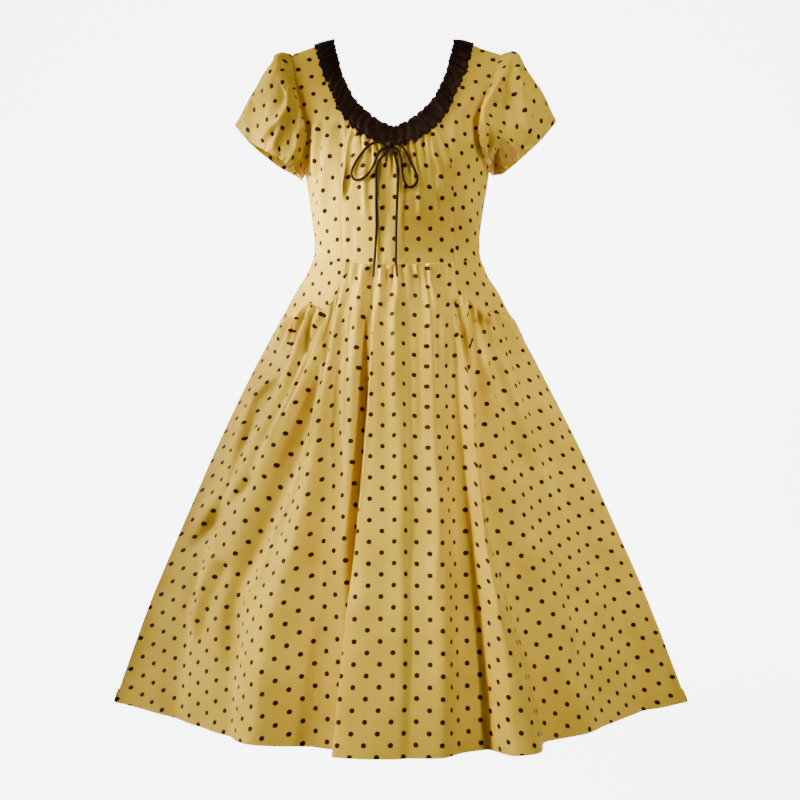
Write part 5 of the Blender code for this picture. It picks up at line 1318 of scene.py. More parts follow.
def skirt_hem(p, uv, n, from_side):
    """The skirt's turned-up hem, closer to the cloth at the side seams."""
    return with_hem(p, uv, n, SKIRT_TURN_UP, gap=0.0008 + 0.0006 * step(from_side / 0.03), rows=4)


# Long ridges and hollows (minus) of the front skirt: half width at each end, height, how much
# steeper the right flank is, and the places (X, height) that the line runs through
SKIRT_RIDGES = [
    (0.008, 0.012, 0.009, 0.35, ((-0.178, -0.51), (-0.218, -0.553), (-0.241, -0.617), (-0.257, -0.679),
        (-0.289, -0.728), (-0.324, -0.781))),
    (0.008, 0.012, -0.007, -0.2, ((-0.205, -0.666), (-0.235, -0.7), (-0.264, -0.727), (-0.3, -0.763),
        (-0.336, -0.807))),
    (0.004, 0.006, 0.006, 0.3, ((-0.129, -0.471), (-0.148, -0.527), (-0.174, -0.594), (-0.2, -0.648))),
    (0.006, 0.008, -0.005, 0.0, ((-0.157, -0.509), (-0.193, -0.595), (-0.217, -0.653))),
    (0.004, 0.011, 0.008, 0.3, ((-0.106, -0.454), (-0.111, -0.51), (-0.118, -0.585), (-0.14, -0.668),
        (-0.172, -0.736), (-0.187, -0.795), (-0.219, -0.87), (-0.235, -0.935))),
    (0.007, 0.01, -0.006, 0.0, ((-0.126, -0.531), (-0.144, -0.595), (-0.179, -0.674))),
    (0.005, 0.006, 0.006, 0.2, ((-0.07, -0.406), (-0.078, -0.509), (-0.079, -0.598),
        (-0.084, -0.657))),
    (0.007, 0.015, -0.006, 0.0, ((-0.093, -0.465), (-0.1, -0.619), (-0.108, -0.715), (-0.119, -0.813),
        (-0.138, -0.91))),
    (0.005, 0.008, -0.01, 0.0, ((-0.047, -0.406), (-0.052, -0.542), (-0.055, -0.62), (-0.06, -0.68),
        (-0.064, -0.776), (-0.072, -0.89))),
    (0.003, 0.004, 0.005, -0.2, ((-0.034, -0.406), (-0.039, -0.533), (-0.047, -0.654),
        (-0.058, -0.773), (-0.069, -0.881), (-0.076, -0.974))),
    (0.012, 0.014, 0.005, 0.0, ((-0.262, -0.779), (-0.288, -0.841), (-0.32, -0.919))),
    (0.01, 0.012, -0.005, 0.0, ((-0.249, -0.794), (-0.278, -0.869), (-0.301, -0.944))),
    (0.005, 0.007, 0.006, 0.2, ((-0.004, -0.392), (-0.004, -0.542), (-0.009, -0.627))),
    (0.005, 0.007, -0.004, 0.0, ((-0.023, -0.408), (-0.024, -0.585))),
    (0.0035, 0.008, 0.007, 0.2, ((0.04, -0.362), (0.045, -0.415), (0.048, -0.495), (0.049, -0.613),
        (0.054, -0.739), (0.05, -0.805), (0.046, -0.889))),
    (0.006, 0.01, -0.005, 0.0, ((0.06, -0.406), (0.063, -0.556), (0.07, -0.67), (0.074, -0.782))),
    (0.006, 0.008, -0.004, 0.0, ((0.035, -0.437), (0.038, -0.656))),
    (0.005, 0.007, 0.006, 0.3, ((0.09, -0.41), (0.099, -0.527), (0.104, -0.614), (0.11, -0.742),
        (0.12, -0.825), (0.134, -0.905), (0.154, -0.984))),
    (0.005, 0.013, -0.012, 0.0, ((0.094, -0.412), (0.111, -0.527), (0.12, -0.623), (0.134, -0.742),
        (0.151, -0.825), (0.167, -0.903), (0.196, -0.985))),
    (0.005, 0.01, 0.004, 0.0, ((0.113, -0.427), (0.126, -0.482), (0.137, -0.615), (0.155, -0.723),
        (0.178, -0.816))),
    (0.004, 0.008, -0.006, 0.0, ((0.118, -0.415), (0.139, -0.494), (0.155, -0.57), (0.171, -0.637),
        (0.198, -0.703))),
    (0.004, 0.008, 0.004, 0.0, ((0.141, -0.444), (0.154, -0.493), (0.174, -0.555), (0.199, -0.63))),
    (0.01, 0.012, -0.006, 0.0, ((0.178, -0.615), (0.206, -0.668), (0.232, -0.718), (0.268, -0.796))),
    (0.012, 0.014, 0.005, 0.0, ((0.225, -0.772), (0.239, -0.864), (0.26, -0.95))),
    (0.005, 0.007, -0.011, 0.0, ((0.088, -0.402), (0.094, -0.43), (0.1, -0.47), (0.107, -0.53))),
    (0.005, 0.006, -0.008, 0.0, ((-0.1, -0.412), (-0.106, -0.445), (-0.113, -0.485))),
    (0.004, 0.005, 0.005, 0.1, ((-0.118, -0.422), (-0.124, -0.45), (-0.131, -0.485))),
    (0.004, 0.005, -0.007, 0.0, ((-0.126, -0.425), (-0.132, -0.455), (-0.14, -0.495))),
    (0.004, 0.005, -0.006, 0.0, ((0.116, -0.434), (0.123, -0.46), (0.13, -0.495))),
    (0.004, 0.005, -0.006, 0.0, ((0.138, -0.436), (0.147, -0.46), (0.156, -0.495))),
]


def fine_front():
    """The front skirt, gathered to the waist and to both yokes."""
    corners = (CORNER_LEFT, CORNER_RIGHT)
    us = mixed_columns(FRONT, count=330, z_top=-0.40, share=0.55)
    for corner in corners:
        us[np.argmin(np.abs(us - corner))] = corner
    edge = np.interp(us, YOKE_U, YOKE_Z)
    turn_w = FRONT.at_waist(us)
    waist = waist_z(turn_w)
    inside = (us > corners[0] - 1e-9) & (us < corners[1] + 1e-9)
    upper = np.linspace(0, 1, 21)[:-1]
    lower = np.concatenate([np.linspace(0, 0.12, 22)[:-1], np.linspace(0.12, 1.0, 76)])
    zs = np.concatenate([waist[None] + (edge - waist)[None] * upper[:, None],
                         edge[None] + (HEM_Z - edge)[None] * lower[:, None]])
    u = np.broadcast_to(us, zs.shape)
    turn, out = FRONT.at(u, zs)
    below_waist, below_edge = waist[None] - zs, edge[None] - zs
    fall = np.maximum(np.where(inside, waist, edge)[None] - zs, 0)
    # the folds grow from the waist seam between the yokes and from the yoke seams beside them
    near = out * step(below_edge / FOLD_GROWTH)
    far = out * step(below_waist / FOLD_GROWTH)
    blend = step(np.minimum(abs(u - corners[0]), abs(u - corners[1])) / 0.03)
    big = np.where(np.broadcast_to(inside, zs.shape), far * blend + near * (1 - blend), near)
    x_waist = skirt_base(turn_w, waist)[:, 0]
    x_edge = skirt_base(FRONT.at(us, edge)[0], edge)[:, 0]
    middle = step((u - corners[0]) / 0.016) * step((corners[1] - u) / 0.016)
    small = middle * fine_gathers(WAIST_GATHERS, x_waist[None] + 0 * zs, np.maximum(below_waist, 0),
                                  seed=3, boost=2.3, height=0.0026)
    outside = np.clip((1 - step((u - corners[0]) / 0.012)) + (1 - step((corners[1] - u) / 0.012)), 0, 1)
    small = small + outside * fine_gathers(YOKE_GATHERS, x_edge[None] + 0 * zs, np.maximum(below_edge, 0),
                                           seed=5, boost=2.4, height=0.0036, reach=0.055)
    base = skirt_base(turn, zs)
    x, z = base[..., 0], base[..., 2]
    soft = skirt_softness(x, z, 11, 12) * step(fall / 0.10) + ridges(SKIRT_RIDGES, x, z) * step(fall / 0.020)
    near_side = np.minimum(u, 1 - u)
    side = step(near_side / SIDE_CALM)
    big = np.where(big < 0, big * step(near_side / 0.10), big)
    soft = soft * step(near_side / 0.050)
    smooth = base + skirt_outward(turn, zs) * (big * side)[..., None]
    p = base + skirt_outward(turn, zs) * ((big + small + soft) * side)[..., None]
    p = apart(p, base, -1)
    n = grid_normals(p)
    n[0] = level(n[0])
    uv = sector_uv(u, smooth, middle=0.5, offset=(0.004, 0.006))
    count = len(upper)
    lo = int(np.argmax(inside))
    hi = len(us) - 1 - int(np.argmax(inside[::-1]))
    p, uv, n = skirt_hem(p, uv, n, np.minimum(us, 1 - us))
    # the yoke edges start a little below their seam
    into = unit(p[count + 1] - p[count])
    lower_edge = np.ones(len(us), bool)
    lower_edge[lo + 1:hi] = False
    p[count][lower_edge] += into[lower_edge] * EDGE_INSET
    obj = shell("skirt_front_cloth", p, uv, normals=n,
                keep=lambda r, c: (r >= count) | ((c >= lo) & (c < hi)))
    flange("skirt_front_seams", p, uv, n, count, lo, hi)
    sewn(obj, "skirt_front")


def flange(name, p, uv, n, count, lo, hi):
    """Strips that turn in behind the front skirt's upper edges."""
    top, flat, up = (np.concatenate([grid[count, :lo + 1], grid[:count + 1, lo][::-1], grid[0, lo:hi + 1],
                                     grid[:count + 1, hi], grid[count, hi:]]) for grid in (p, uv, n))
    rows = np.stack([top - up * 0.0001, top - up * 0.0032])
    obj = shell(name, rows, np.stack([flat, flat + 0.003]), normals=np.stack([up, up]), wall=0.0004)
    worn(obj, "skirt_front", replaces=False)


def fine_backs():
    """The two back skirts."""
    centre = BACK.u[BACK.names.index("centre")]
    for side, name, lo, hi, seed in ((1, "skirt_back_right", 0.0, centre, 21),
                                     (-1, "skirt_back_left", centre, 1.0, 22)):
        us = mixed_columns(BACK, count=401, z_top=-0.36, share=0.45)
        us = np.concatenate([[lo], us[(us > lo + 0.001) & (us < hi - 0.001)], [hi]])
        shares = np.concatenate([np.linspace(0, 0.13, 24)[:-1], np.linspace(0.13, 1.0, 70)])
        zs = WAIST_Z + (HEM_Z - WAIST_Z) * shares[:, None] + 0 * us[None]
        u = np.broadcast_to(us, zs.shape)
        turn, out = BACK.at(u, zs)
        x_seam = skirt_base(BACK.at_waist(us), 0 * us + WAIST_Z)[:, 0]
        fall = WAIST_Z - zs
        flat_near_zip = step((np.abs(x_seam) - 0.012) / 0.014)[None]
        small = flat_near_zip * fine_gathers(BACK_GATHERS, x_seam[None] + 0 * zs, fall, seed)
        base = skirt_base(turn, zs)
        x, z = base[..., 0], base[..., 2]
        edge = 0.0 if side > 0 else 1.0
        from_side = np.abs(u - edge)
        outer = step(from_side / SIDE_CALM)
        out = np.where(out < 0, out * step(from_side / 0.10), out)
        soft = skirt_softness(x, z, seed, seed + 7) * step(fall / 0.10)
        soft = soft + 0.7 * ridges(SKIRT_RIDGES, -x, z) * step(fall / 0.035)
        soft = soft * step(np.minimum(u - lo, hi - u) / 0.012) * step(from_side / 0.050)
        amount = (out * step(fall / FOLD_GROWTH) + small) * outer + soft
        p = apart(base + skirt_outward(turn, zs) * amount[..., None], base, 1)
        n = grid_normals(p)
        n[0] = level(n[0])
        n[:, 0 if side > 0 else -1] = (side, 0, 0)
        smooth = base + skirt_outward(turn, zs) * (out * step(fall / FOLD_GROWTH) * outer)[..., None]
        uv = sector_uv(u, smooth, middle=centre, offset=(0.011 * side, 0.017))
        p, uv, n = skirt_hem(p, uv, n, np.abs(us - edge))
        obj = shell(name + "_cloth", p, uv, sides=("top", "start", "end"), normals=n)
        sewn(obj, name)


def fine_yokes():
    """Hip yokes, puckered where the skirt's gathers are sewn to them."""
    for side, name, seed in ((-1, "hip_yoke_left", 31), (1, "hip_yoke_right", 32)):
        lo, hi = (0.0, CORNER_LEFT) if side < 0 else (CORNER_RIGHT, 1.0)
        us = np.union1d(np.linspace(lo, hi, 76), [u for u in YOKE_U if lo < u < hi])
        edge = np.interp(us, YOKE_U, YOKE_Z)
        waist = waist_z(FRONT.at_waist(us))
        zs = waist[None] + (edge - waist)[None] * np.linspace(0, 1, 46)[:, None]
        u = np.broadcast_to(us, zs.shape)
        turn, _ = FRONT.at(u, zs)
        base = skirt_base(turn, zs)
        x = base[..., 0]
        rise = zs - edge[None]
        pucker = 0.0014 * waves(x, zs, wide=0.014, tall=0.06, seed=seed, count=12) * (1 - step(rise / 0.030))
        pucker = pucker * step(rise / 0.004)
        soft = 0.0006 * waves(x, zs, wide=0.05, tall=0.04, seed=seed + 5) * step(rise / 0.01)
        soft = soft * step((waist[None] - zs) / 0.01)
        side_fade = step(np.minimum(u - lo, hi - u) / 0.008)
        p = base + skirt_outward(turn, zs) * ((pucker + soft) * side_fade)[..., None]
        n = grid_normals(p)
        n[0] = level(n[0])
        n[:, 0 if side < 0 else -1] = (side, 0, 0)
        across = length_along(base, 1)
        if side < 0:
            across = across - across[:, -1:]
        across = across * (1 - 0.22 * (across / np.abs(across).max()) ** 2)
        uv = np.stack([across, base[..., 2] * 1.02], axis=-1) + np.array([0.013 * side, 0.009])
        obj = shell(name + "_cloth", p, uv, sides=("top", "bottom", "start", "end"), normals=n)
        sewn(obj, name)


# Bodice


def patch(us, vs, bottom, top, start, end):
    """A whole grid of turn and down between four edges."""
    b = np.array([bottom(u) for u in us])[None]
    t = np.array([top(u) for u in us])[None]
    s = np.array([start(v) for v in vs])[:, None]
    e = np.array([end(v) for v in vs])[:, None]
    u = np.asarray(us)[None, :, None]
    v = np.asarray(vs)[:, None, None]
    corner = (1 - u) * (1 - v) * start(0.0) + u * (1 - v) * end(0.0)
    corner = corner + (1 - u) * v * start(1.0) + u * v * end(1.0)
    return (1 - v) * b + v * t + (1 - u) * s + u * e - corner


FALL_Z = np.linspace(0.02, -0.37, 400)
FALL_Y = np.array([front_y(0.06, max(z, -0.345)) if z < -0.002 else 0.0 for z in FALL_Z])
FALL_RUN = run_along(np.stack([FALL_Z, FALL_Y], axis=-1))


def bodice_uv(turn, down, p, shift, tilt=0.0, widen=1.0):
    """Flat place of a bodice point: round the body and down it, turned by tilt."""
    mean = float(np.mean(turn))
    centre = 180.0 * round(mean / 180.0 - 0.01 * np.sign(mean))
    reach = turn - centre
    total = 0.0 * reach
    last = torso(centre, down)
    for k in range(1, 13):
        here = torso(centre + reach * k / 12, down)
        total = total + np.linalg.norm((here - last) * (1, 1, 0.3), axis=-1)
        last = here
    x = np.sign(reach) * total * (1 - 0.08 * np.clip(np.abs(reach) / 90, 0, 1) ** 2)
    x = x * widen
    y = -np.interp(-p[..., 2], -FALL_Z, FALL_RUN)
    c, s = math.cos(math.radians(tilt)), math.sin(math.radians(tilt))
    return np.stack([x * c - y * s + shift[0], x * s + y * c + shift[1]], axis=-1)


# Long ridges and hollows of the bodice front, in the same columns as SKIRT_RIDGES
BODICE_RIDGES = [
    (0.008, 0.009, 0.005, 0.2, ((-0.099, -0.136), (-0.106, -0.196), (-0.111, -0.256),
        (-0.104, -0.308))),
    (0.005, 0.006, 0.0036, 0.2, ((-0.118, -0.133), (-0.124, -0.188), (-0.127, -0.226))),
    (0.004, 0.006, -0.0036, 0.0, ((-0.111, -0.13), (-0.117, -0.196), (-0.12, -0.241))),
    (0.006, 0.008, -0.0036, 0.0, ((-0.087, -0.133), (-0.082, -0.181), (-0.079, -0.233))),
    (0.003, 0.003, 0.0042, 0.3, ((-0.066, -0.151), (-0.073, -0.175), (-0.078, -0.211),
        (-0.082, -0.265))),
    (0.003, 0.004, -0.0028, 0.0, ((-0.067, -0.181), (-0.073, -0.226), (-0.076, -0.265))),
    (0.004, 0.005, 0.0024, 0.0, ((-0.049, -0.211), (-0.048, -0.248), (-0.046, -0.293))),
    (0.003, 0.004, 0.0024, 0.0, ((0.029, -0.211), (0.032, -0.248), (0.033, -0.293))),
    (0.003, 0.004, 0.0034, 0.2, ((0.047, -0.157), (0.053, -0.181), (0.062, -0.22), (0.066, -0.263))),
    (0.003, 0.004, 0.0028, 0.2, ((0.059, -0.151), (0.069, -0.181), (0.077, -0.218))),
    (0.004, 0.005, -0.0024, 0.0, ((0.054, -0.196), (0.059, -0.241), (0.065, -0.293))),
    (0.005, 0.006, 0.0018, 0.0, ((-0.025, -0.256), (-0.024, -0.331))),
    (0.005, 0.006, -0.0018, 0.0, ((-0.07, -0.293), (-0.067, -0.338))),
]


def bodice_form(spots):
    """The form under a panel: places, normals, and how far each is below the top and above the waist."""
    base = torso(spots[..., 0], spots[..., 1])
    fall = length_along(base, 0)
    return base, torso_normal(spots[..., 0], spots[..., 1]), fall, fall[-1:] - fall


def bodice_panel(name, base, n0, lift, uv, held):
    """A finished panel from how far it lifts off the form; its seams keep the form's normals."""
    p = base + n0 * lift[..., None]
    n = grid_normals(p)
    n[-1] = level(n0[-1])
    if held == "stretched":
        n[0] = unit(n0[0] * (1, 0, 1))
    n[:, 0] = n0[:, 0]
    n[:, -1] = n0[:, -1]
    obj = shell(name + "_cloth", p, uv, sides=("top", "bottom", "start", "end"), normals=n)
    sewn(obj, name)


def fine_bodice_front():
    """Centre front with the gathers of the neckline."""
    left, right = (princess_line(side) for side in (-1, 1))
    seams = {side: neck_line(side, False, SEAM_PLACE) for side in (-1, 1)}

    def top(u):
        away = 2 * u - 1
        return read_line(seams[-1 if u < 0.5 else 1], PRINCESS_AT_NECK * abs(away))

    us = np.linspace(0, 1, 171)
    vs = np.concatenate([np.linspace(1, 0.5, 60)[:-1], np.linspace(0.5, 0, 40)])
    spots = patch(us, vs, straight(left[0][0], right[0][0]), top, lambda v: read_line(left, v),
                  lambda v: read_line(right, v))
    base, n0, fall, _ = bodice_form(spots)
    x, z = base[..., 0], base[..., 2]
    from_side = np.minimum(us, 1 - us)[None]
    gathers = fine_gathers(NECK_GATHERS, base[:1, :, 0] + 0 * fall, fall, seed=41, boost=1.7,
                           crowd=0.0042, height=0.0012)
    above_waist = (base[-1:, :, 2] - z) * -1
    tucks = waves(x, z, wide=0.010, tall=0.10, seed=43) * 0.0004 * (1 - step(above_waist / 0.02))
    tucks = tucks * step(above_waist / 0.002)
    soft = 0.0006 * waves(x, z, wide=0.045, tall=0.09, seed=42) + ridges(BODICE_RIDGES, x, z)
    soft = soft * step(from_side / 0.04) * step(above_waist / 0.01) * step(fall / 0.01)
    widen = 1 + 0.30 * (1 - step(fall / 0.11))
    uv = bodice_uv(spots[..., 0], spots[..., 1], base, shift=(0.0035, 0.004), widen=widen)
    lift = gathers * step(from_side / 0.05) + soft + tucks
    bodice_panel("bodice_front", base, n0, lift, uv, "gathered")


# Soft drag lines of the side fronts and backs on the viewer's right: start X and Z, end X and Z, half width,
# height (minus for a hollow). The left ones mirror them.
SIDE_CREASES = [
    (0.0860, -0.110, 0.0960, -0.230, 0.005, 0.0014),
    (0.1010, -0.100, 0.1060, -0.190, 0.005, 0.0012),
    (0.1180, -0.195, 0.1020, -0.300, 0.007, 0.0012),
    (0.0920, -0.060, 0.1200, -0.130, 0.007, 0.0010),
    (0.1320, -0.215, 0.1150, -0.260, 0.006, -0.0012),
    (0.1240, -0.270, 0.0980, -0.320, 0.006, 0.0010),
]


def plain_panel(name, side, us, spots, wave, drag, fade, extra, tuck_seed, shift, tilt=0.0):
    """A panel without gathers: low waves, drag lines and small tucks over the waist seam."""
    base, n0, fall, rise = bodice_form(spots)
    x, z = base[..., 0], base[..., 2]
    height, wide, tall, seed = wave
    table = [(side * a, b, side * c, d, e, f) for a, b, c, d, e, f in SIDE_CREASES]
    soft = height * waves(x, z, wide, tall, seed) + drag * creases(table, x, z) + ridges(extra, x, z)
    soft = soft * (step(np.minimum(us, 1 - us)[None] / fade) * step(rise / 0.01) * step(fall / 0.01))
    tucks = waves(x, z, wide=0.010, tall=0.08, seed=tuck_seed) * 0.0003
    tucks = tucks * (1 - step(rise / 0.02)) * step(rise / 0.002)
    uv = bodice_uv(spots[..., 0], spots[..., 1], base, shift, tilt)
    bodice_panel(name, base, n0, soft + tucks, uv, "stretched")


def fine_side_fronts():
    """Side fronts."""
    for side, name, tilt in ((-1, "bodice_side_front_left", -4.0), (1, "bodice_side_front_right", 9.0)):
        seam = neck_line(side, False, SEAM_PLACE)
        share = np.linspace(PRINCESS_AT_NECK, 1, 12)
        inner = joined(princess_line(side), (read_line(seam, share), (share - share[0]) / (1 - share[0])))
        outer = joined(segment([90 * side, 1], [90 * side, underarm(side)]), armhole_line(side, False), 0.25)
        first, last = (inner, outer) if side > 0 else (outer, inner)
        us = np.linspace(0, 1, 76)
        vs = np.union1d(np.linspace(0, 1, 121), [0.25, 0.5])[::-1]
        spots = patch(us, vs, straight(first(0.0), last(0.0)), straight(first(1.0), last(1.0)), first, last)
        plain_panel(name, side, us, spots, wave=(0.0007, 0.05, 0.08, 51 + side), drag=1.0, fade=0.05,
                    extra=BODICE_RIDGES, tuck_seed=55 + side, shift=(0.006 * side, 0.011), tilt=tilt)


def fine_backs_bodice():
    """Back panels, plain but for soft drag lines."""
    for side, name, seed in ((1, "bodice_back_right", 61), (-1, "bodice_back_left", 62)):
        us = np.linspace(0, 1, 86)
        vs = np.union1d(np.linspace(0, 1, 101), [0.5])[::-1]
        spots = patch(us, vs, *back_edges(side))
        plain_panel(name, side, us, spots, wave=(0.0008, 0.06, 0.07, seed), drag=0.8, fade=0.06,
                    extra=[], tuck_seed=seed + 5, shift=(0.007 * side, 0.002))


# Sleeves

# Folds of the sleeves in the columns of SKIRT_RIDGES, on the flat sleeve: metres round from the shoulder
# seam towards the front, and metres down from the armhole (minus)
SLEEVE_FOLDS_LEFT = [
    (0.006, 0.008, 0.004, 0.0, ((0.024, -0.006), (0.033, -0.018), (0.032, -0.036), (0.028, -0.054))),
    (0.003, 0.005, 0.007, 0.1, ((0.062, -0.002), (0.07, -0.018), (0.077, -0.032), (0.079, -0.045),
        (0.076, -0.066), (0.068, -0.085), (0.058, -0.112))),
    (0.004, 0.005, 0.005, 0.0, ((0.082, -0.057), (0.083, -0.078), (0.084, -0.112))),
    (0.008, 0.01, -0.005, 0.0, ((0.056, -0.017), (0.062, -0.032), (0.066, -0.057), (0.06, -0.09))),
    (0.005, 0.007, 0.004, 0.0, ((0.094, -0.006), (0.107, -0.035), (0.119, -0.075), (0.12, -0.112))),
    (0.004, 0.005, 0.0036, 0.0, ((0.017, -0.07), (0.018, -0.09), (0.018, -0.112))),
]
SLEEVE_FOLDS_RIGHT = [
    (0.009, 0.013, 0.008, 0.2, ((0.038, 0.002), (0.078, -0.006), (0.107, -0.02), (0.143, -0.05))),
    (0.006, 0.008, 0.007, 0.4, ((0.021, -0.014), (0.048, -0.047), (0.058, -0.084), (0.061, -0.112))),
    (0.007, 0.009, -0.006, 0.0, ((0.016, -0.025), (0.034, -0.06), (0.045, -0.112))),
    (0.006, 0.009, -0.005, 0.0, ((0.038, -0.012), (0.064, -0.034), (0.078, -0.075))),
    (0.005, 0.006, 0.004, 0.0, ((0.056, -0.026), (0.07, -0.055), (0.084, -0.112))),
    (0.004, 0.005, 0.0036, 0.0, ((0.012, -0.07), (0.015, -0.09), (0.016, -0.112))),
]
SLEEVE_FOLDS_BACK = [
    (0.008, 0.01, 0.004, 0.1, ((-0.136, -0.04), (-0.128, -0.07), (-0.122, -0.112))),
    (0.008, 0.01, -0.004, 0.0, ((-0.096, -0.02), (-0.091, -0.06), (-0.088, -0.112))),
    (0.008, 0.011, 0.006, -0.2, ((-0.056, -0.004), (-0.058, -0.05), (-0.055, -0.112))),
    (0.007, 0.009, -0.0034, 0.0, ((-0.028, -0.014), (-0.024, -0.06), (-0.02, -0.112))),
]


SLEEVE_COLUMNS = 240
ONE_ROUND = 6.283        # radians
ROUND_RADIUS = 0.064     # of the sleeve, for the soft waves


def sleeve_ends(side, ts):
    """The sleeve's seam on the armhole and its hem, once round."""
    front = reverse(armhole_line(side, False))
    back = armhole_line(side, True)
    spots = np.where(ts[:, None] <= 0.5, read_line(front, np.clip(2 * ts, 0, 1)),
                     read_line(back, np.clip(2 * ts - 1, 0, 1)))
    seam = torso(spots[:, 0], spots[:, 1]) + torso_normal(spots[:, 0], spots[:, 1]) * 0.0004
    table = np.array(SLEEVE_HEM_RIGHT if side > 0 else SLEEVE_HEM_LEFT)
    before, after = table[-3:].copy(), table[:3].copy()
    before[:, 0] -= 1
    after[:, 0] += 1
    hem = np.stack(columns_at(np.concatenate([before, table, after]), ts), axis=-1)
    hem[:, 0] *= side
    return seam, hem


def sleeve_stand(v, ts, side, seed):
    """How far the sleeve stands off the line from seam to hem, at the share v down it."""
    ring = (ts + 0.5) % 1
    away_from_top = np.abs(ring - 0.5)
    top = 1 - step((away_from_top - 0.30) / 0.12)
    folds = (SLEEVE_FOLDS_RIGHT if side > 0 else SLEEVE_FOLDS_LEFT) + SLEEVE_FOLDS_BACK
    stand = columns_at(PUFF_ROUND, ts)[0] * float(columns_at(PUFF, v)[0])
    large = (SLEEVE_RIDGES_RIGHT if side > 0 else SLEEVE_RIDGES_LEFT) + SLEEVE_RIDGES_BACK
    for at_seam, at_hem, half, height, peak, reach in large:
        away = (ts - (at_seam + (at_hem - at_seam) * v) + 0.5) % 1 - 0.5
        grow = step(v / peak) if v < peak else 1 - step((v - peak) / max(reach - peak, 0.01))
        stand = stand + height * float(grow) * crest(away / (half * 1.25 * (1 + 0.4 * v)))
    stand = stand + top * fine_gathers([], ring * SLEEVE_ROUND, 0 * ts + v * SLEEVE_DROP, seed,
                                       crowd=0.0070, height=0.0040, reach=0.034)
    stand = stand + ridges(folds, (ring - 0.5) * SLEEVE_ROUND, 0 * ts - v * SLEEVE_DROP) * step(v / 0.1)
    soft = 0.0009 * waves(np.sin(ts * ONE_ROUND) * ROUND_RADIUS,
                          v * 0.1 + np.cos(ts * ONE_ROUND) * ROUND_RADIUS, wide=0.03, tall=0.03, seed=seed)
    stand = stand + soft * step(v / 0.15) * (0.3 + 0.7 * top)
    ruffle = 0.0008 * np.sin(ts * 2 * math.pi * 31 + 1.5 * np.sin(ts * 40)) * step((v - 0.86) / 0.10)
    return stand + ruffle + 0.0006 * step((v - 0.93) / 0.012)


def fine_sleeves():
    """Puff sleeves gathered into the armhole, with a narrow stitched hem."""
    for side, name, seed in ((-1, "sleeve_left", 71), (1, "sleeve_right", 72)):
        ts = np.arange(SLEEVE_COLUMNS) / SLEEVE_COLUMNS
        seam, hem = sleeve_ends(side, ts)
        middle = 0.5 * (seam.mean(axis=0) + hem.mean(axis=0))
        chord = unit(hem - seam)
        radial = 0.5 * (seam + hem) - middle
        radial = unit(radial - chord * np.sum(radial * chord, axis=1, keepdims=True))
        vs = np.concatenate([np.linspace(0, 0.2, 20)[:-1], np.linspace(0.2, 1.0, 50)])
        p = []
        for v in vs:
            points = seam + (hem - seam) * v + radial * sleeve_stand(v, ts, side, seed)[:, None]
            p.append(clear_of_torso(points, 0.0010 + 0.0045 * v) if v > 0 else points)
        p = np.array(p)
        around = (ts + 0.5) % 1 - 0.5
        ring = np.linalg.norm(np.roll(p, -1, axis=1) - p, axis=-1).sum(axis=1)
        widths = [ring[k] for k in (len(vs) // 6, len(vs) // 3, len(vs) // 2, -6)]
        width = np.interp(vs, [0, 0.3, 0.6, 1], widths)
        down = length_along(p, 0)
        uv = np.stack([around[None] * width[:, None], down[-1:] - down], axis=-1)
        uv = uv + np.array([0.004, 0.012 * side])
        # the flat sleeve is cut open at the underarm
        if side > 0:
            p = p[:, ::-1]
            uv = uv[:, ::-1]
        start = int(np.argmin(uv[0, :, 0]))
        p = np.roll(p, -start, axis=1)
        uv = np.roll(uv, -start, axis=1)
        p = np.concatenate([p, p[:, :1]], axis=1)
        uv = np.concatenate([uv, uv[:, -1:] * 2 - uv[:, -2:-1]], axis=1)
        n = grid_normals(p)
        n[:, 0] = n[:, -1] = unit(n[:, 0] + n[:, -1])
        line = len(vs) - 5
        thread = (p[line] + n[line] * 0.0004, n[line])
        p, uv, n = with_hem(p, uv, n, SLEEVE_TURN_UP, gap=0.0011, rows=3)
        sewn(shell(name + "_cloth", p, uv, sides=("top",), normals=n, tuck=0.0028), name)
        worn(stitches(name + "_stitches", *thread, THREAD), name, replaces=False)


# Neck trim


def trim_edges(back, t):
    """Inner and outer edge of half the trim, at the shares t of its length."""
    first, second = (1, -1) if back else (-1, 1)
    away = np.abs(2 * t - 1)
    return [np.where(t[:, None] < 0.5, read_line(NECK_LINES[first, back][edge], away),
                     read_line(NECK_LINES[second, back][edge], away)) for edge in (0, 1)]


def ruche(across, t, phase, skew, tall):
    """Height and sideways shift of the ruched ribbon along one line across it."""
    order = np.arange(len(skew))
    lean = np.interp(phase, order, skew)
    shifted = phase + lean * (across - 0.5) * 0.8 + 0.12 * np.sin(across * 5 + phase)
    lobe = np.abs(np.sin(math.pi * shifted)) ** 0.62
    second_wave = np.abs(np.sin(math.pi * (shifted * 2 + 0.3 * np.sin(phase * 2.1)))) ** 0.8
    near_edge = np.abs(2 * across - 1)
    body = math.sin(math.pi * (0.08 + 0.84 * across)) ** 0.5
    height = 0.0030 * lobe * (0.75 + 0.25 * np.sin(t * 37.0)) * np.interp(phase, order, tall)
    height = height * (0.55 + 0.45 * body)
    height = height + 0.0008 * second_wave * (0.45 + 0.55 * near_edge ** 2)
    for line in (0.13, 0.87):      # the casing's two rows of sewing
        height = height * (1 - 0.45 * math.exp(-((across - line) / 0.035) ** 2))
    scallop = (0.030 + 0.055 * across) * (2 * lobe - 1) * (across - 0.5) * 2
    frill = 0.040 * np.sin(phase * 12.1 + 2 * np.sin(phase)) * (across > 0.93)
    frill = frill - 0.018 * np.sin(phase * 11.3) * (across < 0.05)
    return height, scallop + frill


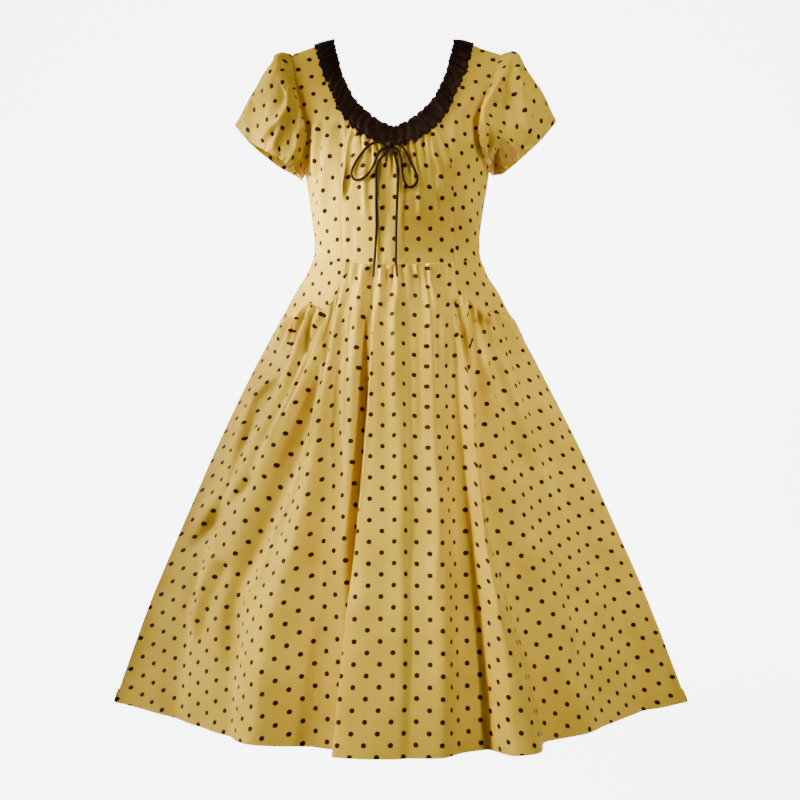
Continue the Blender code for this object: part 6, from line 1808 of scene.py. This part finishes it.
def fine_trim():
    """Ruched ribbon casing with sharp creases across it and a frilled outer edge."""
    for back, name, lobes, seed in ((False, "neck_trim_front", 29, 81), (True, "neck_trim_back", 23, 82)):
        t = np.linspace(0, 1, lobes * 20 + 1)
        inner, outer = trim_edges(back, t)
        phase = t * lobes + 0.16 * np.sin(t * 23.0) + 0.10 * np.sin(t * 51.0)
        end = step(np.minimum(t, 1 - t) / 0.012)
        dice = np.random.RandomState(seed)
        skew = dice.uniform(-0.35, 0.35, lobes + 3)
        tall = dice.uniform(0.7, 1.15, lobes + 3)
        rows = []
        flat = []

        def add_row(reach, lift, down):
            spots = inner + (outer - inner) * reach[:, None]
            rows.append(torso(spots[:, 0], spots[:, 1]) + torso_normal(spots[:, 0], spots[:, 1]) * lift)
            flat.append(np.stack([t * TRIM_LENGTH, 0 * t - down * TRIM_WIDTH], axis=-1))

        for across in np.linspace(0, 1, 23):
            height, shift = ruche(across, t, phase, skew, tall)
            lift = 0.0019 + 0.0004 * across + height * end
            if not back:           # the slit that the drawstring comes out of
                slit = np.exp(-((t - 0.502) / 0.006) ** 2)
                lift = lift - 0.0010 * slit * (1 - 0.5 * across)
            reach = across + shift * end
            add_row(reach, lift[:, None], across)
        # the outer edge is turned under, down to the cloth
        for back_by, low in ((0.010, 0.0012), (0.035, 0.0009), (0.110, 0.0008)):
            add_row(reach - back_by, low, 1 + back_by)
        obj = shell(name + "_ribbon", np.array(rows), np.array(flat), materials=(RIBBON,), wall=RIBBON_WALL)
        sewn(obj, name)


# Drawstring


KNOT_RADIUS = 0.0025
# The knot's strands about its middle: two that cross under a wrap, and the wrap
KNOT_STRANDS = [
    [(-0.0052, 0.0006, 0.0020), (-0.0030, -0.0022, 0.0026), (0.0, -0.0034, 0.0012),
     (0.0030, -0.0022, -0.0022), (0.0052, 0.0006, -0.0026)],
    [(-0.0052, 0.0006, -0.0022), (-0.0028, -0.0016, -0.0028), (0.0, -0.0024, -0.0012),
     (0.0028, -0.0018, 0.0020), (0.0052, 0.0006, 0.0026)],
    [(0.0008, 0.0020, 0.0042), (0.0002, -0.0018, 0.0044), (-0.0006, -0.0044, 0.0010),
     (-0.0002, -0.0040, -0.0022), (0.0006, -0.0010, -0.0044), (0.0008, 0.0020, -0.0036)],
]
KNOT_SCALE = (0.92, 0.88, 0.92)


def cord_object(name, kind, radius, routes):
    """A round cord along each of the routes."""
    curve = bpy.data.curves.new(name, "CURVE")
    curve.dimensions = "3D"
    curve.bevel_depth = radius
    curve.bevel_resolution = 4
    curve.use_fill_caps = True
    for route in routes:
        spline = curve.splines.new(kind)
        spline.points.add(len(route) - 1)
        if kind == "NURBS":
            spline.use_endpoint_u = True
            spline.order_u = 4
            spline.resolution_u = 10
        for point, spot in zip(spline.points, route):
            point.co = (*spot, 1)
    return add_object(name, curve, CORD_ROUND)


def fine_bow():
    """Knot, two loops and two tails."""
    x, z, off = KNOT
    middle = (x, front_y(x, z) - off, z)
    knot = cord_object("bow_knot_wraps", "NURBS", KNOT_RADIUS, [
        [[m + a * size for m, a, size in zip(middle, spot, KNOT_SCALE)] for spot in strand]
        for strand in KNOT_STRANDS])
    worn(knot, "bow_knot")
    for name, table, far in (("bow_loop_left", LOOP_LEFT, "object"), ("bow_loop_right", LOOP_RIGHT, "object"),
                             ("bow_tail_left", TAIL_LEFT, "bare"), ("bow_tail_right", TAIL_RIGHT, "bare")):
        route = smooth_route(table, 60)
        obj = cord_object(name + "_cord", "POLY", CORD_RADIUS * 0.95, [route])
        worn(obj, name)


# Zip


# One bar of the coil: X, depth behind the tape, and half its width in pitches
COIL_BAR = ((-0.0024, 0.0003, 0.3), (-0.0014, 0.0011, 0.42), (0.0014, 0.0011, 0.42), (0.0024, 0.0003, 0.3))


def fine_tape():
    """The tape behind the centre-back seam; gives its middle line, the line's normals and running length."""
    rows = back_seam_rows()
    rows[0] = (0.55 * rows[0][0] + 0.45 * rows[1][0], rows[0][1])
    inward = WALL / 2 + SEAM_GAP + TAPE_WALL / 2 + 0.0001
    lines = []
    for points, normals in rows:
        beside = points[[0, 2]] - points[1]
        size = np.linalg.norm(beside, axis=1, keepdims=True)
        edges = points[1] + beside * (TAPE_HALF / size)
        lines.append(np.array([edges[0], points[1], edges[1]]) - normals * inward)
    lines = np.array(lines)
    norms = np.array([normals for _, normals in rows])
    run = run_along(lines[:, 1])
    at = np.linspace(0, run[-1], 90)
    dense, dense_n = (np.stack([at_run(at, run, grid[:, c]) for c in range(3)], axis=1)
                      for grid in (lines, norms))
    dense_n = unit(dense_n)
    across = np.linspace(0, 2, 17)
    p, n = (np.array([at_run(across, [0, 1, 2], row) for row in grid]) for grid in (dense, dense_n))
    uv = np.stack(np.broadcast_arrays((across * TAPE_HALF)[None], -at[:, None]), axis=-1)
    tape = shell("zip_tape_cloth", p, uv, materials=(TAPE,), wall=RIBBON_WALL, normals=unit(n))
    sewn(tape, "zip_tape")
    return at, dense[:, 1], dense_n[:, 1]


def fine_coil(at, line, normals):
    """A row of small rounded bars on the tape's inner side."""
    verts = []
    faces = []
    for k in range(int((at[-1] - 0.010) / COIL_PITCH)):
        s = 0.006 + k * COIL_PITCH
        spot = at_run(s, at, line)
        up = unit(at_run(s, at, normals))
        along = unit(np.cross(up, (1, 0, 0)))
        first = len(verts)
        for x, deep, wide in COIL_BAR:
            for a, b in ((-1, 0), (1, 0), (1, 1), (-1, 1)):
                corner = spot + np.array([x, 0, 0]) + along * a * COIL_PITCH * wide
                verts.append(corner - up * (0.0003 + b * deep))
        for ring in range(first, first + 12, 4):
            faces += [(ring + q, ring + (q + 1) % 4, ring + (q + 1) % 4 + 4, ring + q + 4) for q in range(4)]
        faces += [(first + 3, first + 2, first + 1, first), (first + 12, first + 13, first + 14, first + 15)]
    mesh = bpy.data.meshes.new("zip_coil")
    mesh.from_pydata([tuple(v) for v in verts], [], faces)
    bm = bmesh.new()
    bm.from_mesh(mesh)
    bmesh.ops.recalc_face_normals(bm, faces=bm.faces)
    bm.to_mesh(mesh)
    bm.free()
    mesh.shade_smooth()
    mesh.set_sharp_from_angle(angle=math.radians(60))
    worn(add_object("zip_coil", mesh, METAL), "zip_tape", replaces=False)


def fine_zip():
    """Tape with its coil, and the finish of the slider and its tab."""
    fine_coil(*fine_tape())
    for node in ("zip_slider", "zip_pull"):
        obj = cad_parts[node]
        obj.data.materials.clear()
        obj.data.materials.append(METAL)
        edge = obj.modifiers.new("edge", "BEVEL")
        edge.width = 0.00022
        edge.segments = 3
        edge.limit_method = "ANGLE"


setting()
fine_bow()
fine_bodice_front()
fine_side_fronts()
fine_backs_bodice()
fine_yokes()
fine_front()
fine_backs()
fine_sleeves()
fine_trim()
fine_zip()
